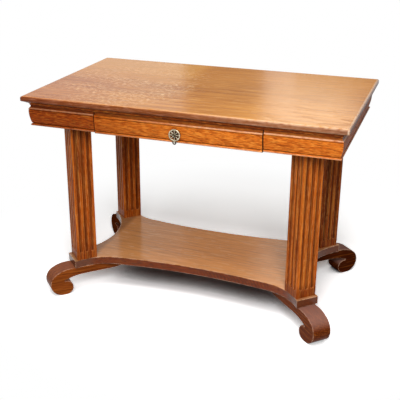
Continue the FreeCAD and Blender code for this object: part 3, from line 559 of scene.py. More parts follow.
@dataclass(frozen=True)
class OakFinish:
    """Oak under varnish: growth rings round a tilted heart, mottle, pores, painted glints in the shape of
    ray flecks, and worn edges.

    Sizes are blotches per metre along and across the grain.
    """

    name: str
    pale: Colour
    mid: Colour
    dark: Colour
    pore: Colour = (0.05, 0.012, 0.004)
    ring_pitch: float = 7.0 * MM
    ring_wander: float = 2.2
    wander_size: Pair = (3.5, 28.0)
    strength_size: Pair = (2.0, 16.0)
    strength_range: Pair = (0.30, 0.66)
    strength_least: float = 0.3
    early_end: float = 0.5
    heart_depth: float = 60.0 * MM
    heart_tilt: float = 0.08
    waviness: float = 16.0 * MM
    wave_size: Pair = (1.8, 8.0)
    level: float = 0.60
    stops: Triple = (0.08, 0.5, 0.9)
    ring_share: float = 0.30
    mottle_size: Pair = (30.0, 210.0)
    mottle_share: float = 0.75
    fibre_size: Pair = (8.0, 480.0)
    fibre_share: float = 0.45
    tone_size: Pair = (0.9, 4.0)
    tone_share: float = 0.35
    pore_size: Pair = (40.0, 800.0)
    pore_range: Pair = (0.53, 0.68)
    pore_least: float = 0.25
    pore_share: float = 0.5
    fleck: float = 0.0
    fleck_size: Pair = (66.0, 170.0)
    fleck_range: Pair = (0.55, 0.60)
    fleck_colour: Colour = (0.80, 0.50, 0.28)
    fleck_middle: Pair = (0.0, 0.0)
    fleck_reach: Pair = (0.4, 0.4)
    fleck_fade: Pair = (1.0, 0.5)
    patch_size: Pair = (2.6, 7.0)
    patch_range: Pair = (0.30, 0.48)
    dashes: tuple[Dashes, ...] = ()
    board_width: float = 0.0
    board_jump: Triple = (5.0, 0.08, 0.06)
    board_share: float = 0.3
    roughness: float = 0.34
    ring_roughness: float = 0.10
    pore_roughness: float = 0.12
    gloss: float = 0.5
    relief: float = 0.3 * MM
    relief_share: float = 0.4
    ring_relief: float = -0.35
    pore_relief: float = -0.6

    def material(self, label: str, grain: Grain, shift: Triple, tone: float = 0.0,
                 marks: tuple[Layer, ...] = ()) -> bpy.types.Material:
        """Make this finish for one board.

        Args:
            label: The board's name, which the material's name ends in.
            grain: Which way the board lies.
            shift: Where in the log the board was cut, in metres.
            tone: How much paler than its fellows the board is.
            marks: Wear, painted shade and painted highlights laid over the wood, in order.

        Returns:
            The material.
        """
        graph = ShaderGraph(f"{self.name}_{label}")
        place = graph.place(grain.value, shift)
        drift = graph.streaks(place, self.tone_size)
        if self.board_width:
            place, drift = self._boards(graph, place, drift)
        swing = graph.streaks(place, self.wave_size, parts=Parts.THREE)
        waves = graph.vector("SUBTRACT", swing, (NOISE_MEAN,) * 3)
        waves = graph.vector("MULTIPLY", waves, (0.0, self.waviness, self.waviness))
        wavy = graph.vector("ADD", place, waves)
        early = self._early_wood(graph, wavy)
        shade = graph.math("MULTIPLY_ADD", early, -self.ring_share, self.level + tone)
        for size, share in ((self.mottle_size, self.mottle_share), (self.fibre_size, self.fibre_share)):
            shade = graph.sway(shade, graph.streaks(wavy, size, FINE), share)
        shade = graph.sway(shade, drift, self.tone_share)
        colour = graph.ramp(shade, list(zip(self.stops, (self.dark, self.mid, self.pale))))
        pores = graph.step(graph.streaks(wavy, self.pore_size, PLAIN), *self.pore_range)
        pores = graph.times(pores, graph.at_least(early, self.pore_least))
        colour = graph.blend(graph.times(pores, self.pore_share), colour, self.pore)
        if self.fleck:
            colour = graph.blend(self._flecks(graph, wavy), colour, self.fleck_colour)
        for layer in (*(replace(dashes, grain=grain) for dashes in self.dashes), *marks):
            colour = layer.lay(graph, colour)
        rough = graph.math("MULTIPLY_ADD", early, self.ring_roughness, self.roughness)
        rough = graph.math("MULTIPLY_ADD", pores, self.pore_roughness, rough)
        graph.give({"Base Color": colour, "Roughness": rough, "Specular IOR Level": self.gloss})
        height = graph.math("MULTIPLY_ADD", early, self.ring_relief, graph.times(pores, self.pore_relief))
        graph.bump(height, self.relief, self.relief_share)
        return graph.material

    def _boards(self, graph: NodeGraph, place: Socket, drift: Socket) -> tuple[Socket, Socket]:
        """Split a wide panel into glued boards, each from another part of the log.

        Args:
            graph: The material's nodes.
            place: The placed coordinates.
            drift: The slow change of tone.

        Returns:
            The coordinates and the tone, changed from board to board.
        """
        across = graph.axes(place)[Way.Y.value]
        index = graph.math("FLOOR", graph.math("DIVIDE", across, self.board_width))
        draw = graph.add("TexWhiteNoise", {"W": index}, noise_dimensions="1D").outputs
        jump = graph.vector("MULTIPLY", draw["Color"], self.board_jump)
        return graph.vector("ADD", place, jump), graph.sway(drift, draw["Value"], self.board_share)

    def _early_wood(self, graph: NodeGraph, wavy: Socket) -> Socket:
        """The dark, open wood that begins each growth ring, as the board's cut shows it.

        Args:
            graph: The material's nodes.
            wavy: The placed coordinates, with their slow waves.

        Returns:
            1 where a ring begins, falling to 0 in its late wood.
        """
        along, across, deep = graph.axes(wavy)
        depth = graph.math("ADD", deep, self.heart_depth)
        below = graph.math("MULTIPLY_ADD", along, self.heart_tilt, depth)
        square = graph.math("ADD", graph.times(across, across), graph.times(below, below))
        count = graph.math("DIVIDE", graph.math("SQRT", square), self.ring_pitch)
        wander = graph.streaks(wavy, self.wander_size, FINE)
        count = graph.math("MULTIPLY_ADD", wander, self.ring_wander, count)
        begin = graph.step(graph.math("FRACT", count), self.early_end, 0.0)
        strength = graph.step(graph.streaks(wavy, self.strength_size), *self.strength_range)
        return graph.times(begin, graph.at_least(strength, self.strength_least))

    def _flecks(self, graph: NodeGraph, wavy: Socket) -> Socket:
        """Short pale flakes in the shape of ray wood, which are painted glints, in patches within one
        part of the panel.

        Args:
            graph: The material's nodes.
            wavy: The placed coordinates, with their slow waves.

        Returns:
            Where the flakes show.
        """
        own = graph.place(shift=(-self.fleck_middle[0], -self.fleck_middle[1], 0.0))
        reach = (1.0 / self.fleck_reach[0], 1.0 / self.fleck_reach[1], 0.0)
        away = graph.vector("LENGTH", graph.vector("MULTIPLY", own, reach))
        within = graph.step(away, *self.fleck_fade)
        patches = graph.step(graph.streaks(wavy, self.patch_size), *self.patch_range)
        flakes = graph.step(graph.streaks(wavy, self.fleck_size), *self.fleck_range)
        return graph.times(flakes, patches, within, self.fleck)


@dataclass(frozen=True)
class MetalFinish:
    """Cast or turned metal with a dark patina left in its low places."""

    name: str
    bright: Colour
    patina: Colour
    roughness: float = 0.32
    patina_share: float = 0.5
    hollow_share: float = 0.85
    cloud_size: Triple = (420.0, 420.0, 420.0)
    cloud_range: Pair = (0.42, 0.68)
    patina_roughness: float = 0.35
    pit_size: Triple = (900.0, 900.0, 900.0)
    relief: float = 0.15 * MM
    relief_share: float = 0.3

    def material(self, label: str, hollow: Pair | None = None) -> bpy.types.Material:
        """Make this finish for one piece.

        Args:
            label: The piece's name, which the material's name ends in.
            hollow: Places along Y where a relief is clean and where it is darkest, if it has one.

        Returns:
            The material.
        """
        graph = ShaderGraph(f"{self.name}_{label}")
        place = graph.place()
        cloud = graph.noise(place, self.cloud_size, FINE)
        share = graph.times(graph.step(cloud, *self.cloud_range), self.patina_share)
        if hollow:
            deep = graph.step(graph.axes(place)[Way.Y.value], *hollow)
            share = graph.math("MAXIMUM", share, graph.times(deep, self.hollow_share))
        rough = graph.math("MULTIPLY_ADD", share, self.patina_roughness, self.roughness)
        colour = graph.blend(share, self.bright, self.patina)
        graph.give({"Base Color": colour, "Metallic": 1.0, "Roughness": rough})
        graph.bump(graph.noise(place, self.pit_size), self.relief, self.relief_share)
        return graph.material


# The top's pale flecks are painted glints on its left part.
OAK_TOP = OakFinish(
    "oak_top", pale=(0.74, 0.32, 0.058), mid=(0.50, 0.175, 0.020), dark=(0.24, 0.060, 0.007),
    ring_pitch=5.0 * MM, heart_depth=140.0 * MM, heart_tilt=0.02, ring_share=0.2,
    mottle_size=(6.0, 90.0), mottle_share=0.7, fibre_share=0.5, pore_share=0.3,
    fleck=0.82, fleck_colour=(0.96, 0.62, 0.30), fleck_middle=(-0.29, 0.0), fleck_reach=(0.32, 0.46),
    dashes=(Dashes((5.0, 90.0), 0.56, 0.62, (0.22, 0.055, 0.009), 0.28),
            Dashes((14.0, 110.0), 0.58, 0.64, (0.90, 0.50, 0.16), 0.25)),
    board_width=0.167, roughness=0.15, gloss=0.13)
OAK_FRIEZE = OakFinish(
    "oak_frieze", pale=(0.92, 0.29, 0.034), mid=(0.57, 0.118, 0.008), dark=(0.13, 0.018, 0.002),
    ring_pitch=4.5 * MM, heart_depth=45.0 * MM, heart_tilt=0.06, waviness=10.0 * MM, ring_share=0.16,
    mottle_size=(48.0, 300.0), mottle_share=1.0, pore_share=0.6, gloss=0.08,
    dashes=(Dashes((52.0, 290.0), 0.53, 0.61, (0.16, 0.020, 0.002), 0.42),
            Dashes((44.0, 250.0), 0.56, 0.63, (0.94, 0.38, 0.06), 0.35)))
OAK_COLUMN = OakFinish(
    "oak_column", pale=(0.78, 0.21, 0.022), mid=(0.47, 0.088, 0.006), dark=(0.08, 0.012, 0.002),
    heart_depth=160.0 * MM, heart_tilt=0.01, ring_share=0.2, waviness=2.0 * MM,
    mottle_size=(2.5, 230.0), mottle_share=0.9, pore_share=0.6, gloss=0.06,
    dashes=(Dashes((5.0, 280.0), 0.53, 0.60, (0.06, 0.009, 0.002), 0.55),
            Dashes((46.0, 330.0), 0.54, 0.61, (0.05, 0.008, 0.002), 0.22),
            Dashes((8.0, 250.0), 0.56, 0.63, (0.84, 0.31, 0.05), 0.40),
            Dashes((46.0, 310.0), 0.56, 0.63, (0.90, 0.38, 0.10), 0.22)))
OAK_SHELF = OakFinish(
    "oak_shelf", pale=(0.89, 0.34, 0.065), mid=(0.71, 0.245, 0.033), dark=(0.36, 0.088, 0.010),
    ring_pitch=8.0 * MM, heart_depth=110.0 * MM, heart_tilt=0.05, ring_share=0.22,
    mottle_size=(5.0, 80.0), mottle_share=0.6, fibre_share=0.5, pore_share=0.3,
    dashes=(Dashes((7.0, 90.0), 0.56, 0.62, (0.24, 0.06, 0.012), 0.28),
            Dashes((22.0, 120.0), 0.58, 0.64, (0.90, 0.58, 0.32), 0.28)),
    board_width=0.18, roughness=0.14, gloss=0.16)
OAK_FOOT = OakFinish(
    "oak_foot", pale=(0.34, 0.085, 0.013), mid=(0.15, 0.026, 0.003), dark=(0.05, 0.008, 0.002),
    heart_depth=120.0 * MM, heart_tilt=0.1, mottle_size=(12.0, 150.0), mottle_share=0.6,
    roughness=0.24, gloss=0.02,
    dashes=(Dashes((8.0, 190.0), 0.53, 0.61, (0.045, 0.009, 0.002), 0.4),
            Dashes((9.0, 210.0), 0.57, 0.64, (0.50, 0.15, 0.022), 0.25)))
OAK_BACK_FOOT = replace(OAK_FOOT, name="oak_back_foot", gloss=0.0)
FRAME_WOOD = OakFinish(
    "frame_wood", pale=(0.55, 0.36, 0.19), mid=(0.42, 0.25, 0.12), dark=(0.25, 0.13, 0.05),
    roughness=0.62, gloss=0.3)
DRAWER_WOOD = OakFinish(
    "drawer_wood", pale=(0.66, 0.47, 0.27), mid=(0.53, 0.35, 0.18), dark=(0.34, 0.2, 0.09),
    roughness=0.55, gloss=0.3)
AGED_BRASS = MetalFinish("aged_brass", (0.56, 0.49, 0.35), (0.05, 0.036, 0.02), roughness=0.36)
DARK_BRASS = MetalFinish("dark_brass", (0.075, 0.056, 0.034), (0.02, 0.014, 0.008), roughness=0.42,
                         patina_share=0.8)
PLAIN_STEEL = MetalFinish("plain_steel", (0.45, 0.45, 0.46), (0.16, 0.14, 0.12))


def dress(node: str, finish: OakFinish | MetalFinish, *cut: object) -> None:
    """Give one CAD piece its finish.

    Args:
        node: The piece's name.
        finish: The finish.
        cut: How a wood lies on the piece: grain, shift, tone and marks, in that order.
    """
    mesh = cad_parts[node].data
    material = finish.material(node, *cut)
    mesh.materials.clear()
    mesh.materials.append(material)
    LOG.info("dressed %s in %s", node, material.name)


def further(start: Triple, step: Triple, count: int) -> Triple:
    """A place in the log that lies a count of steps further on."""
    return tuple(begin + count * each for begin, each in zip(start, step))


def deselect() -> None:
    """Let go of everything, so that the next step acts on one piece alone."""
    bpy.ops.object.select_all(action="DESELECT")


def model(name: str, shape: Callable[..., set[str]], stretch: Triple = EVEN,
          **options: object) -> Piece:
    """Add a plain shape as a new piece, with its place and size set into its mesh.

    Args:
        name: The piece's name.
        shape: The step that adds the shape.
        stretch: How far the shape is stretched along its own axes.
        options: What the step takes.

    Returns:
        The piece.
    """
    deselect()
    shape(**options)
    piece = bpy.context.active_object
    piece.name = name
    piece.data.name = name
    piece.scale = stretch
    bpy.ops.object.transform_apply(location=True, rotation=True, scale=True)
    return piece


def pick(piece: Piece, wanted: Callable[[Vector], bool]) -> None:
    """Open a piece for shaping, with only the wanted points selected.

    Args:
        piece: The piece, which is the active one.
        wanted: A test of a point's place.
    """
    bpy.ops.object.mode_set(mode="EDIT")
    bpy.ops.mesh.select_mode(type="VERT")
    bpy.ops.mesh.select_all(action="DESELECT")
    bpy.ops.object.mode_set(mode="OBJECT")
    for point in piece.data.vertices:
        point.select = wanted(point.co)
    bpy.ops.object.mode_set(mode="EDIT")


def combine(piece: Piece, tool: Piece, fusing: Fusing) -> None:
    """Join a tool to a piece or cut it out of it, and clear the tool away.

    Args:
        piece: The piece that stays.
        tool: The piece that is used up.
        fusing: Whether the tool is joined or cut out.
    """
    deselect()
    bpy.context.view_layer.objects.active = piece
    step = piece.modifiers.new("combine", "BOOLEAN")
    step.operation = fusing.value
    step.solver = "EXACT"
    step.object = tool
    bpy.ops.object.modifier_apply(modifier=step.name)
    bpy.data.objects.remove(tool, do_unlink=True)


def smooth(piece: Piece, angle: float) -> None:
    """Merge a piece's doubles, turn its faces outwards and shade its soft edges smooth.

    Args:
        piece: The piece.
        angle: The sharpest edge that is shaded smooth, in degrees.
    """
    deselect()
    piece.select_set(True)
    bpy.context.view_layer.objects.active = piece
    bpy.ops.object.mode_set(mode="EDIT")
    bpy.ops.mesh.select_all(action="SELECT")
    bpy.ops.mesh.remove_doubles(threshold=MERGE_WITHIN)
    bpy.ops.mesh.normals_make_consistent(inside=False)
    bpy.ops.object.mode_set(mode="OBJECT")
    bpy.ops.object.shade_smooth_by_angle(angle=math.radians(angle))


@dataclass
class TableTop:
    """The glued-up top board."""

    cut: Triple = (0.3, 0.334, 0.0)
    marks: tuple[Layer, ...] = (
        # Painted shade: the left end of the top and nose is tinted darker.
        Mark(Way.X, -0.60, 0.10, 0.40, (0.91, 0.73, 0.60), 0.85, stain=Stain.TINTS),
        # Painted sheen: a paler patch across the middle of the top.
        Mark(Way.X, 0.15, 0.06, 0.20, (0.86, 0.44, 0.15), 0.10),
        # Painted sheen edge along the back: paler orange to the left, deeper orange to the right.
        Mark(Way.Y, 0.334, 0.06, 0.36, (0.98, 0.46, 0.08), 0.5, from_left=(-0.06, -0.13)),
        Mark(Way.Y, 0.334, 0.06, 0.30, (0.92, 0.33, 0.02), 0.24, from_left=(-0.14, -0.08)),
        # Painted glare: a brighter patch towards the right of the top.
        Mark(Way.X, 0.36, 0.10, 0.12, (0.95, 0.45, 0.10), 0.22),
        Mark(Way.Z, 0.747, 12.2 * MM, 1.8 * MM, (0.36, 0.22, 0.24), 0.95, stain=Stain.TINTS),
        Dashes((18.0, 420.0), 0.50, 0.60, (0.10, 0.018, 0.004), 0.42, below=0.758),
        Dashes((26.0, 460.0), 0.52, 0.62, (0.60, 0.27, 0.17), 0.24, below=0.7612),
        # Worn right-hand arris with a painted highlight on it.
        Mark(Way.X, 0.5475, 1.8 * MM, 1.5 * MM, (0.84, 0.66, 0.48), 0.55, 0.35),
        # Worn front arris with a painted highlight on it, stronger towards the right.
        Mark(Way.Y, -0.3290, 1.4 * MM, 1.4 * MM, (0.78, 0.54, 0.40), 0.25, 0.35),
        Mark(Way.Y, -0.3305, 2.2 * MM, 2.0 * MM, (0.90, 0.64, 0.42), 0.42, 0.35, from_left=(-0.05, 0.4)),
    )

    def dress(self) -> None:
        """Finish the top, with the older polish left on its nose, wear and painted highlights along its
        edges, painted sheen and glare on its face and painted shade towards its left end.
        """
        dress("top_panel", OAK_TOP, Grain.LENGTHWISE, self.cut, 0.0, self.marks)


@dataclass
class Frieze:
    """The moulded boards under the top, and the drawer's front among them."""

    # apron_front_left: its low tone is partly board tone and partly painted shade towards the left.
    front_tones: tuple[tuple[str, float], ...] = (
        ("apron_front_left", -0.14), ("drawer_front", 0.01), ("apron_front_right", 0.0),
        ("apron_back", -0.05))
    # apron_right: its low tone is painted shade on the end that faces away from the light.
    end_tones: tuple[tuple[str, float], ...] = (("apron_left", -0.05), ("apron_right", -0.32))
    middle: float = 0.69
    front_out: float = 0.31
    front_step: Triple = (1.7, 0.01, 0.0)
    end_start: float = 5.0
    end_rise: float = 0.015
    end_out: float = 0.53
    end_step: Triple = (1.7, 0.0, 0.0)
    marks: tuple[Mark, ...] = (
        # Painted shade in the neck under the bed mould.
        Mark(Way.Z, 69.0 * MM, 5.5 * MM, 1.5 * MM, (0.07, 0.018, 0.006), 0.6),
        # Painted shade in the quirk under the shoulder.
        Mark(Way.Z, 56.75 * MM, 0.7 * MM, 0.9 * MM, (0.06, 0.011, 0.002), 0.6),
        # Painted shade in the notch above the lip.
        Mark(Way.Z, 8.4 * MM, 0.9 * MM, 1.2 * MM, (0.05, 0.010, 0.003), 0.7),
        # Pale lip: wear and a painted highlight.
        Mark(Way.Z, 2.2 * MM, 1.4 * MM, 1.6 * MM, (0.80, 0.48, 0.28), 0.45, 0.35),
    )
    # Painted highlight along the shoulder chamfer, broken like wear.
    shine: Mark = Mark(Way.Z, 61.0 * MM, 1.3 * MM, 1.5 * MM, (0.86, 0.56, 0.36), 0.6, 0.35)
    drawer_shine: Pair = (-0.26, 0.12)
    # Painted shade along the drawer's gaps, and towards the left end of the front.
    seams: tuple[Mark, ...] = (
        Mark(Way.X, -0.288, 1.4 * MM, 1.2 * MM, (0.03, 0.006, 0.002), 0.6),
        Mark(Way.X, 0.288, 1.4 * MM, 1.8 * MM, (0.03, 0.006, 0.002), 0.95),
        Mark(Way.X, -0.66, 0.12, 0.74, (0.45, 0.28, 0.18), 0.8, stain=Stain.TINTS),
    )
    # Painted shade behind the pierced rosette.
    pull_grime: RoundMark = RoundMark(0.0, 0.681, 16.0 * MM, 5.0 * MM, (0.030, 0.008, 0.003), 0.85)

    def dress(self) -> None:
        """Finish each board from its own part of the log, with the heart behind its middle."""
        for index, (node, tone) in enumerate(self.front_tones):
            outward = self.front_out if node == "apron_back" else -self.front_out
            shift = further((0.0, -self.middle, outward), self.front_step, index)
            marks: tuple[Layer, ...] = self._wear(node)
            if node != "apron_back":
                marks += self.seams
            if node == "drawer_front":
                marks += (self.pull_grime,)
            dress(node, OAK_FRIEZE, Grain.FRONT_FACE, shift, tone, marks)
        for index, (node, tone) in enumerate(self.end_tones):
            outward = self.end_out if node == "apron_left" else -self.end_out
            start = (self.end_start, self.end_rise - self.middle, outward)
            shift = further(start, self.end_step, index)
            dress(node, OAK_FRIEZE, Grain.END_FACE, shift, tone, self._wear(node))

    def _wear(self, node: str) -> tuple[Mark, ...]:
        """Painted shade, painted highlights and wear along one board, measured up from its bottom edge.

        Args:
            node: The board's name.

        Returns:
            The stripes at their heights above the floor.
        """
        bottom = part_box(node)[0].z
        shine = self.shine
        if node == "drawer_front":
            shine = replace(shine, from_left=self.drawer_shine)
        return tuple(mark.raised(bottom) for mark in (*self.marks, shine))


@dataclass
class BedMould:
    """The cove strips between the frieze and the underside of the top."""

    # The strips' low tone is painted shade under the nose.
    tone: float = -0.36
    start: Triple = (9.0, 0.2, 0.1)
    step: Triple = (1.3, 0.0, 0.0)
    runs: tuple[tuple[str, Grain], ...] = (("front", Grain.FRONT_FACE), ("back", Grain.FRONT_FACE),
                                           ("left", Grain.END_FACE), ("right", Grain.END_FACE))
    # Painted shade in the creases above and below the cove.
    grime: tuple[Mark, ...] = (
        Mark(Way.Z, 0.7395, 1.2 * MM, 1.5 * MM, (0.03, 0.007, 0.002), 0.7),
        Mark(Way.Z, 0.7275, 0.8 * MM, 1.2 * MM, (0.03, 0.007, 0.002), 0.6),
    )

    def dress(self) -> None:
        """Finish each strip along its own length."""
        for index, (side, grain) in enumerate(self.runs):
            shift = further(self.start, self.step, index)
            dress(f"bed_mould_{side}", OAK_FRIEZE, grain, shift, self.tone, self.grime)


@dataclass
class Columns:
    """The four fluted columns, with tones and shares of dark base by corner."""

    step: Triple = (2.3, 0.11, 0.07)
    half_side: float = 38.0 * MM
    flute_depth: float = 4.5 * MM
    # Painted shade in the flutes.
    grime: Colour = (0.045, 0.009, 0.002)
    recess_shade_share: float = 0.62
    base: Mark = Mark(Way.Z, 0.132, 20.0 * MM, 36.0 * MM, (0.50, 0.42, 0.42), stain=Stain.TINTS)
    bases: tuple[float, ...] = (0.55, 0.85, 0.6, 0.6)
    wear: EdgeWear = EdgeWear(1.6 * MM, (0.80, 0.40, 0.17), 0.5)
    # The back-right column's low tone is painted shade.
    tones: tuple[float, ...] = (-0.08, 0.03, -0.02, -0.22)

    def dress(self) -> None:
        """Finish each column with upright grain of its own."""
        for index, (corner, tone, base) in enumerate(zip(Corner, self.tones, self.bases)):
            node = f"column_{corner.node_end}"
            low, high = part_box(node)
            centre = ((low.x + high.x) / 2, (low.y + high.y) / 2)
            flutes = FluteShade(centre, self.half_side, self.flute_depth, self.grime, self.recess_shade_share)
            layers = (flutes, replace(self.base, share=base), self.wear)
            dress(node, OAK_COLUMN, Grain.UPRIGHT, further(STILL, self.step, index), tone, layers)


@dataclass
class Shelf:
    """The hollowed shelf."""

    cut: Triple = (4.1, 0.27, 0.0)
    marks: tuple[Layer, ...] = (
        # Painted sheen on the shelf's top.
        PaintedSheen((0.70, 0.40, 0.23), 0.32, 0.6),
        Mark(Way.Z, 0.114, 16.0 * MM, 1.6 * MM, (0.27, 0.11, 0.012), 0.98, stain=Stain.TINTS),
        Dashes((30.0, 170.0), 0.52, 0.60, (0.05, 0.011, 0.003), 0.4, below=0.1312),
        Flame(0.16, 0.19, 13.0 * MM, 0.1305, (0.028, 0.006, 0.002), 0.5),
        # Painted shade towards the left end of the shelf.
        Mark(Way.X, -0.46, 0.10, 0.42, (0.74, 0.84, 1.0), 0.6, stain=Stain.TINTS),
        Mark(Way.X, 0.435, 52.0 * MM, 26.0 * MM, (0.11, 0.05, 0.028), 0.5),
        Mark(Way.X, -0.435, 52.0 * MM, 26.0 * MM, (0.11, 0.05, 0.028), 0.5),
        EdgeWear(3.2 * MM, (0.78, 0.48, 0.30), 0.8),
    )

    def dress(self) -> None:
        """Finish the shelf, with the older polish and a flamed grain on its edges, a painted sheen on its
        top and painted shade towards its left end.
        """
        dress("shelf", OAK_SHELF, Grain.LENGTHWISE, self.cut, 0.0, self.marks)


@dataclass
class ScrollFeet:
    """The four sawn feet on the diagonals, with tones and shares of painted sheen by corner."""

    step: Triple = (1.9, 0.0, 0.03)
    # The back feet's low tones are painted shade.
    tones: tuple[float, ...] = (0.16, -0.06, -0.2, -0.38)
    # Painted sheen on the feet's upward faces.
    bloom: PaintedSheen = PaintedSheen((0.36, 0.195, 0.155), 0.6, 0.2)
    sheen_shares: tuple[float, ...] = (0.22, 0.52, 0.12, 0.6)
    wear: EdgeWear = EdgeWear(3.2 * MM, (0.80, 0.50, 0.33), 0.9)

    def dress(self) -> None:
        """Finish each foot along its own diagonal."""
        for index, (corner, tone, share) in enumerate(zip(Corner, self.tones, self.sheen_shares)):
            side_x, side_y = corner.value
            grain = Grain.RISING_DIAGONAL if side_x == side_y else Grain.FALLING_DIAGONAL
            finish = OAK_FOOT if side_y < 0 else OAK_BACK_FOOT
            layers = (replace(self.bloom, share=share), self.wear)
            shift = further(STILL, self.step, index)
            dress(f"scroll_foot_{corner.node_end}", finish, grain, shift, tone, layers)


@dataclass
class HiddenFrame:
    """Rails, posts, runners and blocks behind the frieze."""

    lengthwise: tuple[str, ...] = ("front_top_rail", "front_bearer")
    crosswise: tuple[str, ...] = ("column_rail", "drawer_runner", "drawer_kicker")
    long_cut: Triple = (0.4, 0.1, 0.0)
    cross_cut: Triple = (1.4, 0.1, 0.0)
    post_cut: Triple = (0.7, 0.2, 0.0)
    block_cut: Triple = (1.1, 0.3, 0.0)

    def dress(self) -> None:
        """Finish the frame in bare wood."""
        for node in self.lengthwise:
            dress(node, FRAME_WOOD, Grain.LENGTHWISE, self.long_cut)
        for side in SIDES:
            for stem in self.crosswise:
                dress(f"{stem}_{side}", FRAME_WOOD, Grain.CROSSWISE, self.cross_cut)
            dress(f"drawer_post_{side}", FRAME_WOOD, Grain.UPRIGHT, self.post_cut)
        for corner in Corner:
            dress(f"corner_block_{corner.node_end}", FRAME_WOOD, Grain.UPRIGHT, self.block_cut)


@dataclass
class DrawerBox:
    """The plain box behind the drawer's front."""

    side_cut: Triple = (0.8, 0.0, 0.0)
    back_cut: Triple = (2.8, 0.1, 0.0)

    def dress(self) -> None:
        """Finish the box in planed wood."""
        for side in SIDES:
            dress(f"drawer_side_{side}", DRAWER_WOOD, Grain.CROSSWISE, self.side_cut)
        for node in ("drawer_back", "drawer_bottom"):
            dress(node, DRAWER_WOOD, Grain.LENGTHWISE, self.back_cut)


@dataclass
class Fasteners:
    """Bolts, screws and the pull's nut."""

    nodes: tuple[str, ...] = ("column_bolts", "foot_bolts", "foot_screws", "top_screws", "pull_nut")

    def dress(self) -> None:
        """Finish the fasteners in steel."""
        for node in self.nodes:
            dress(node, PLAIN_STEEL)


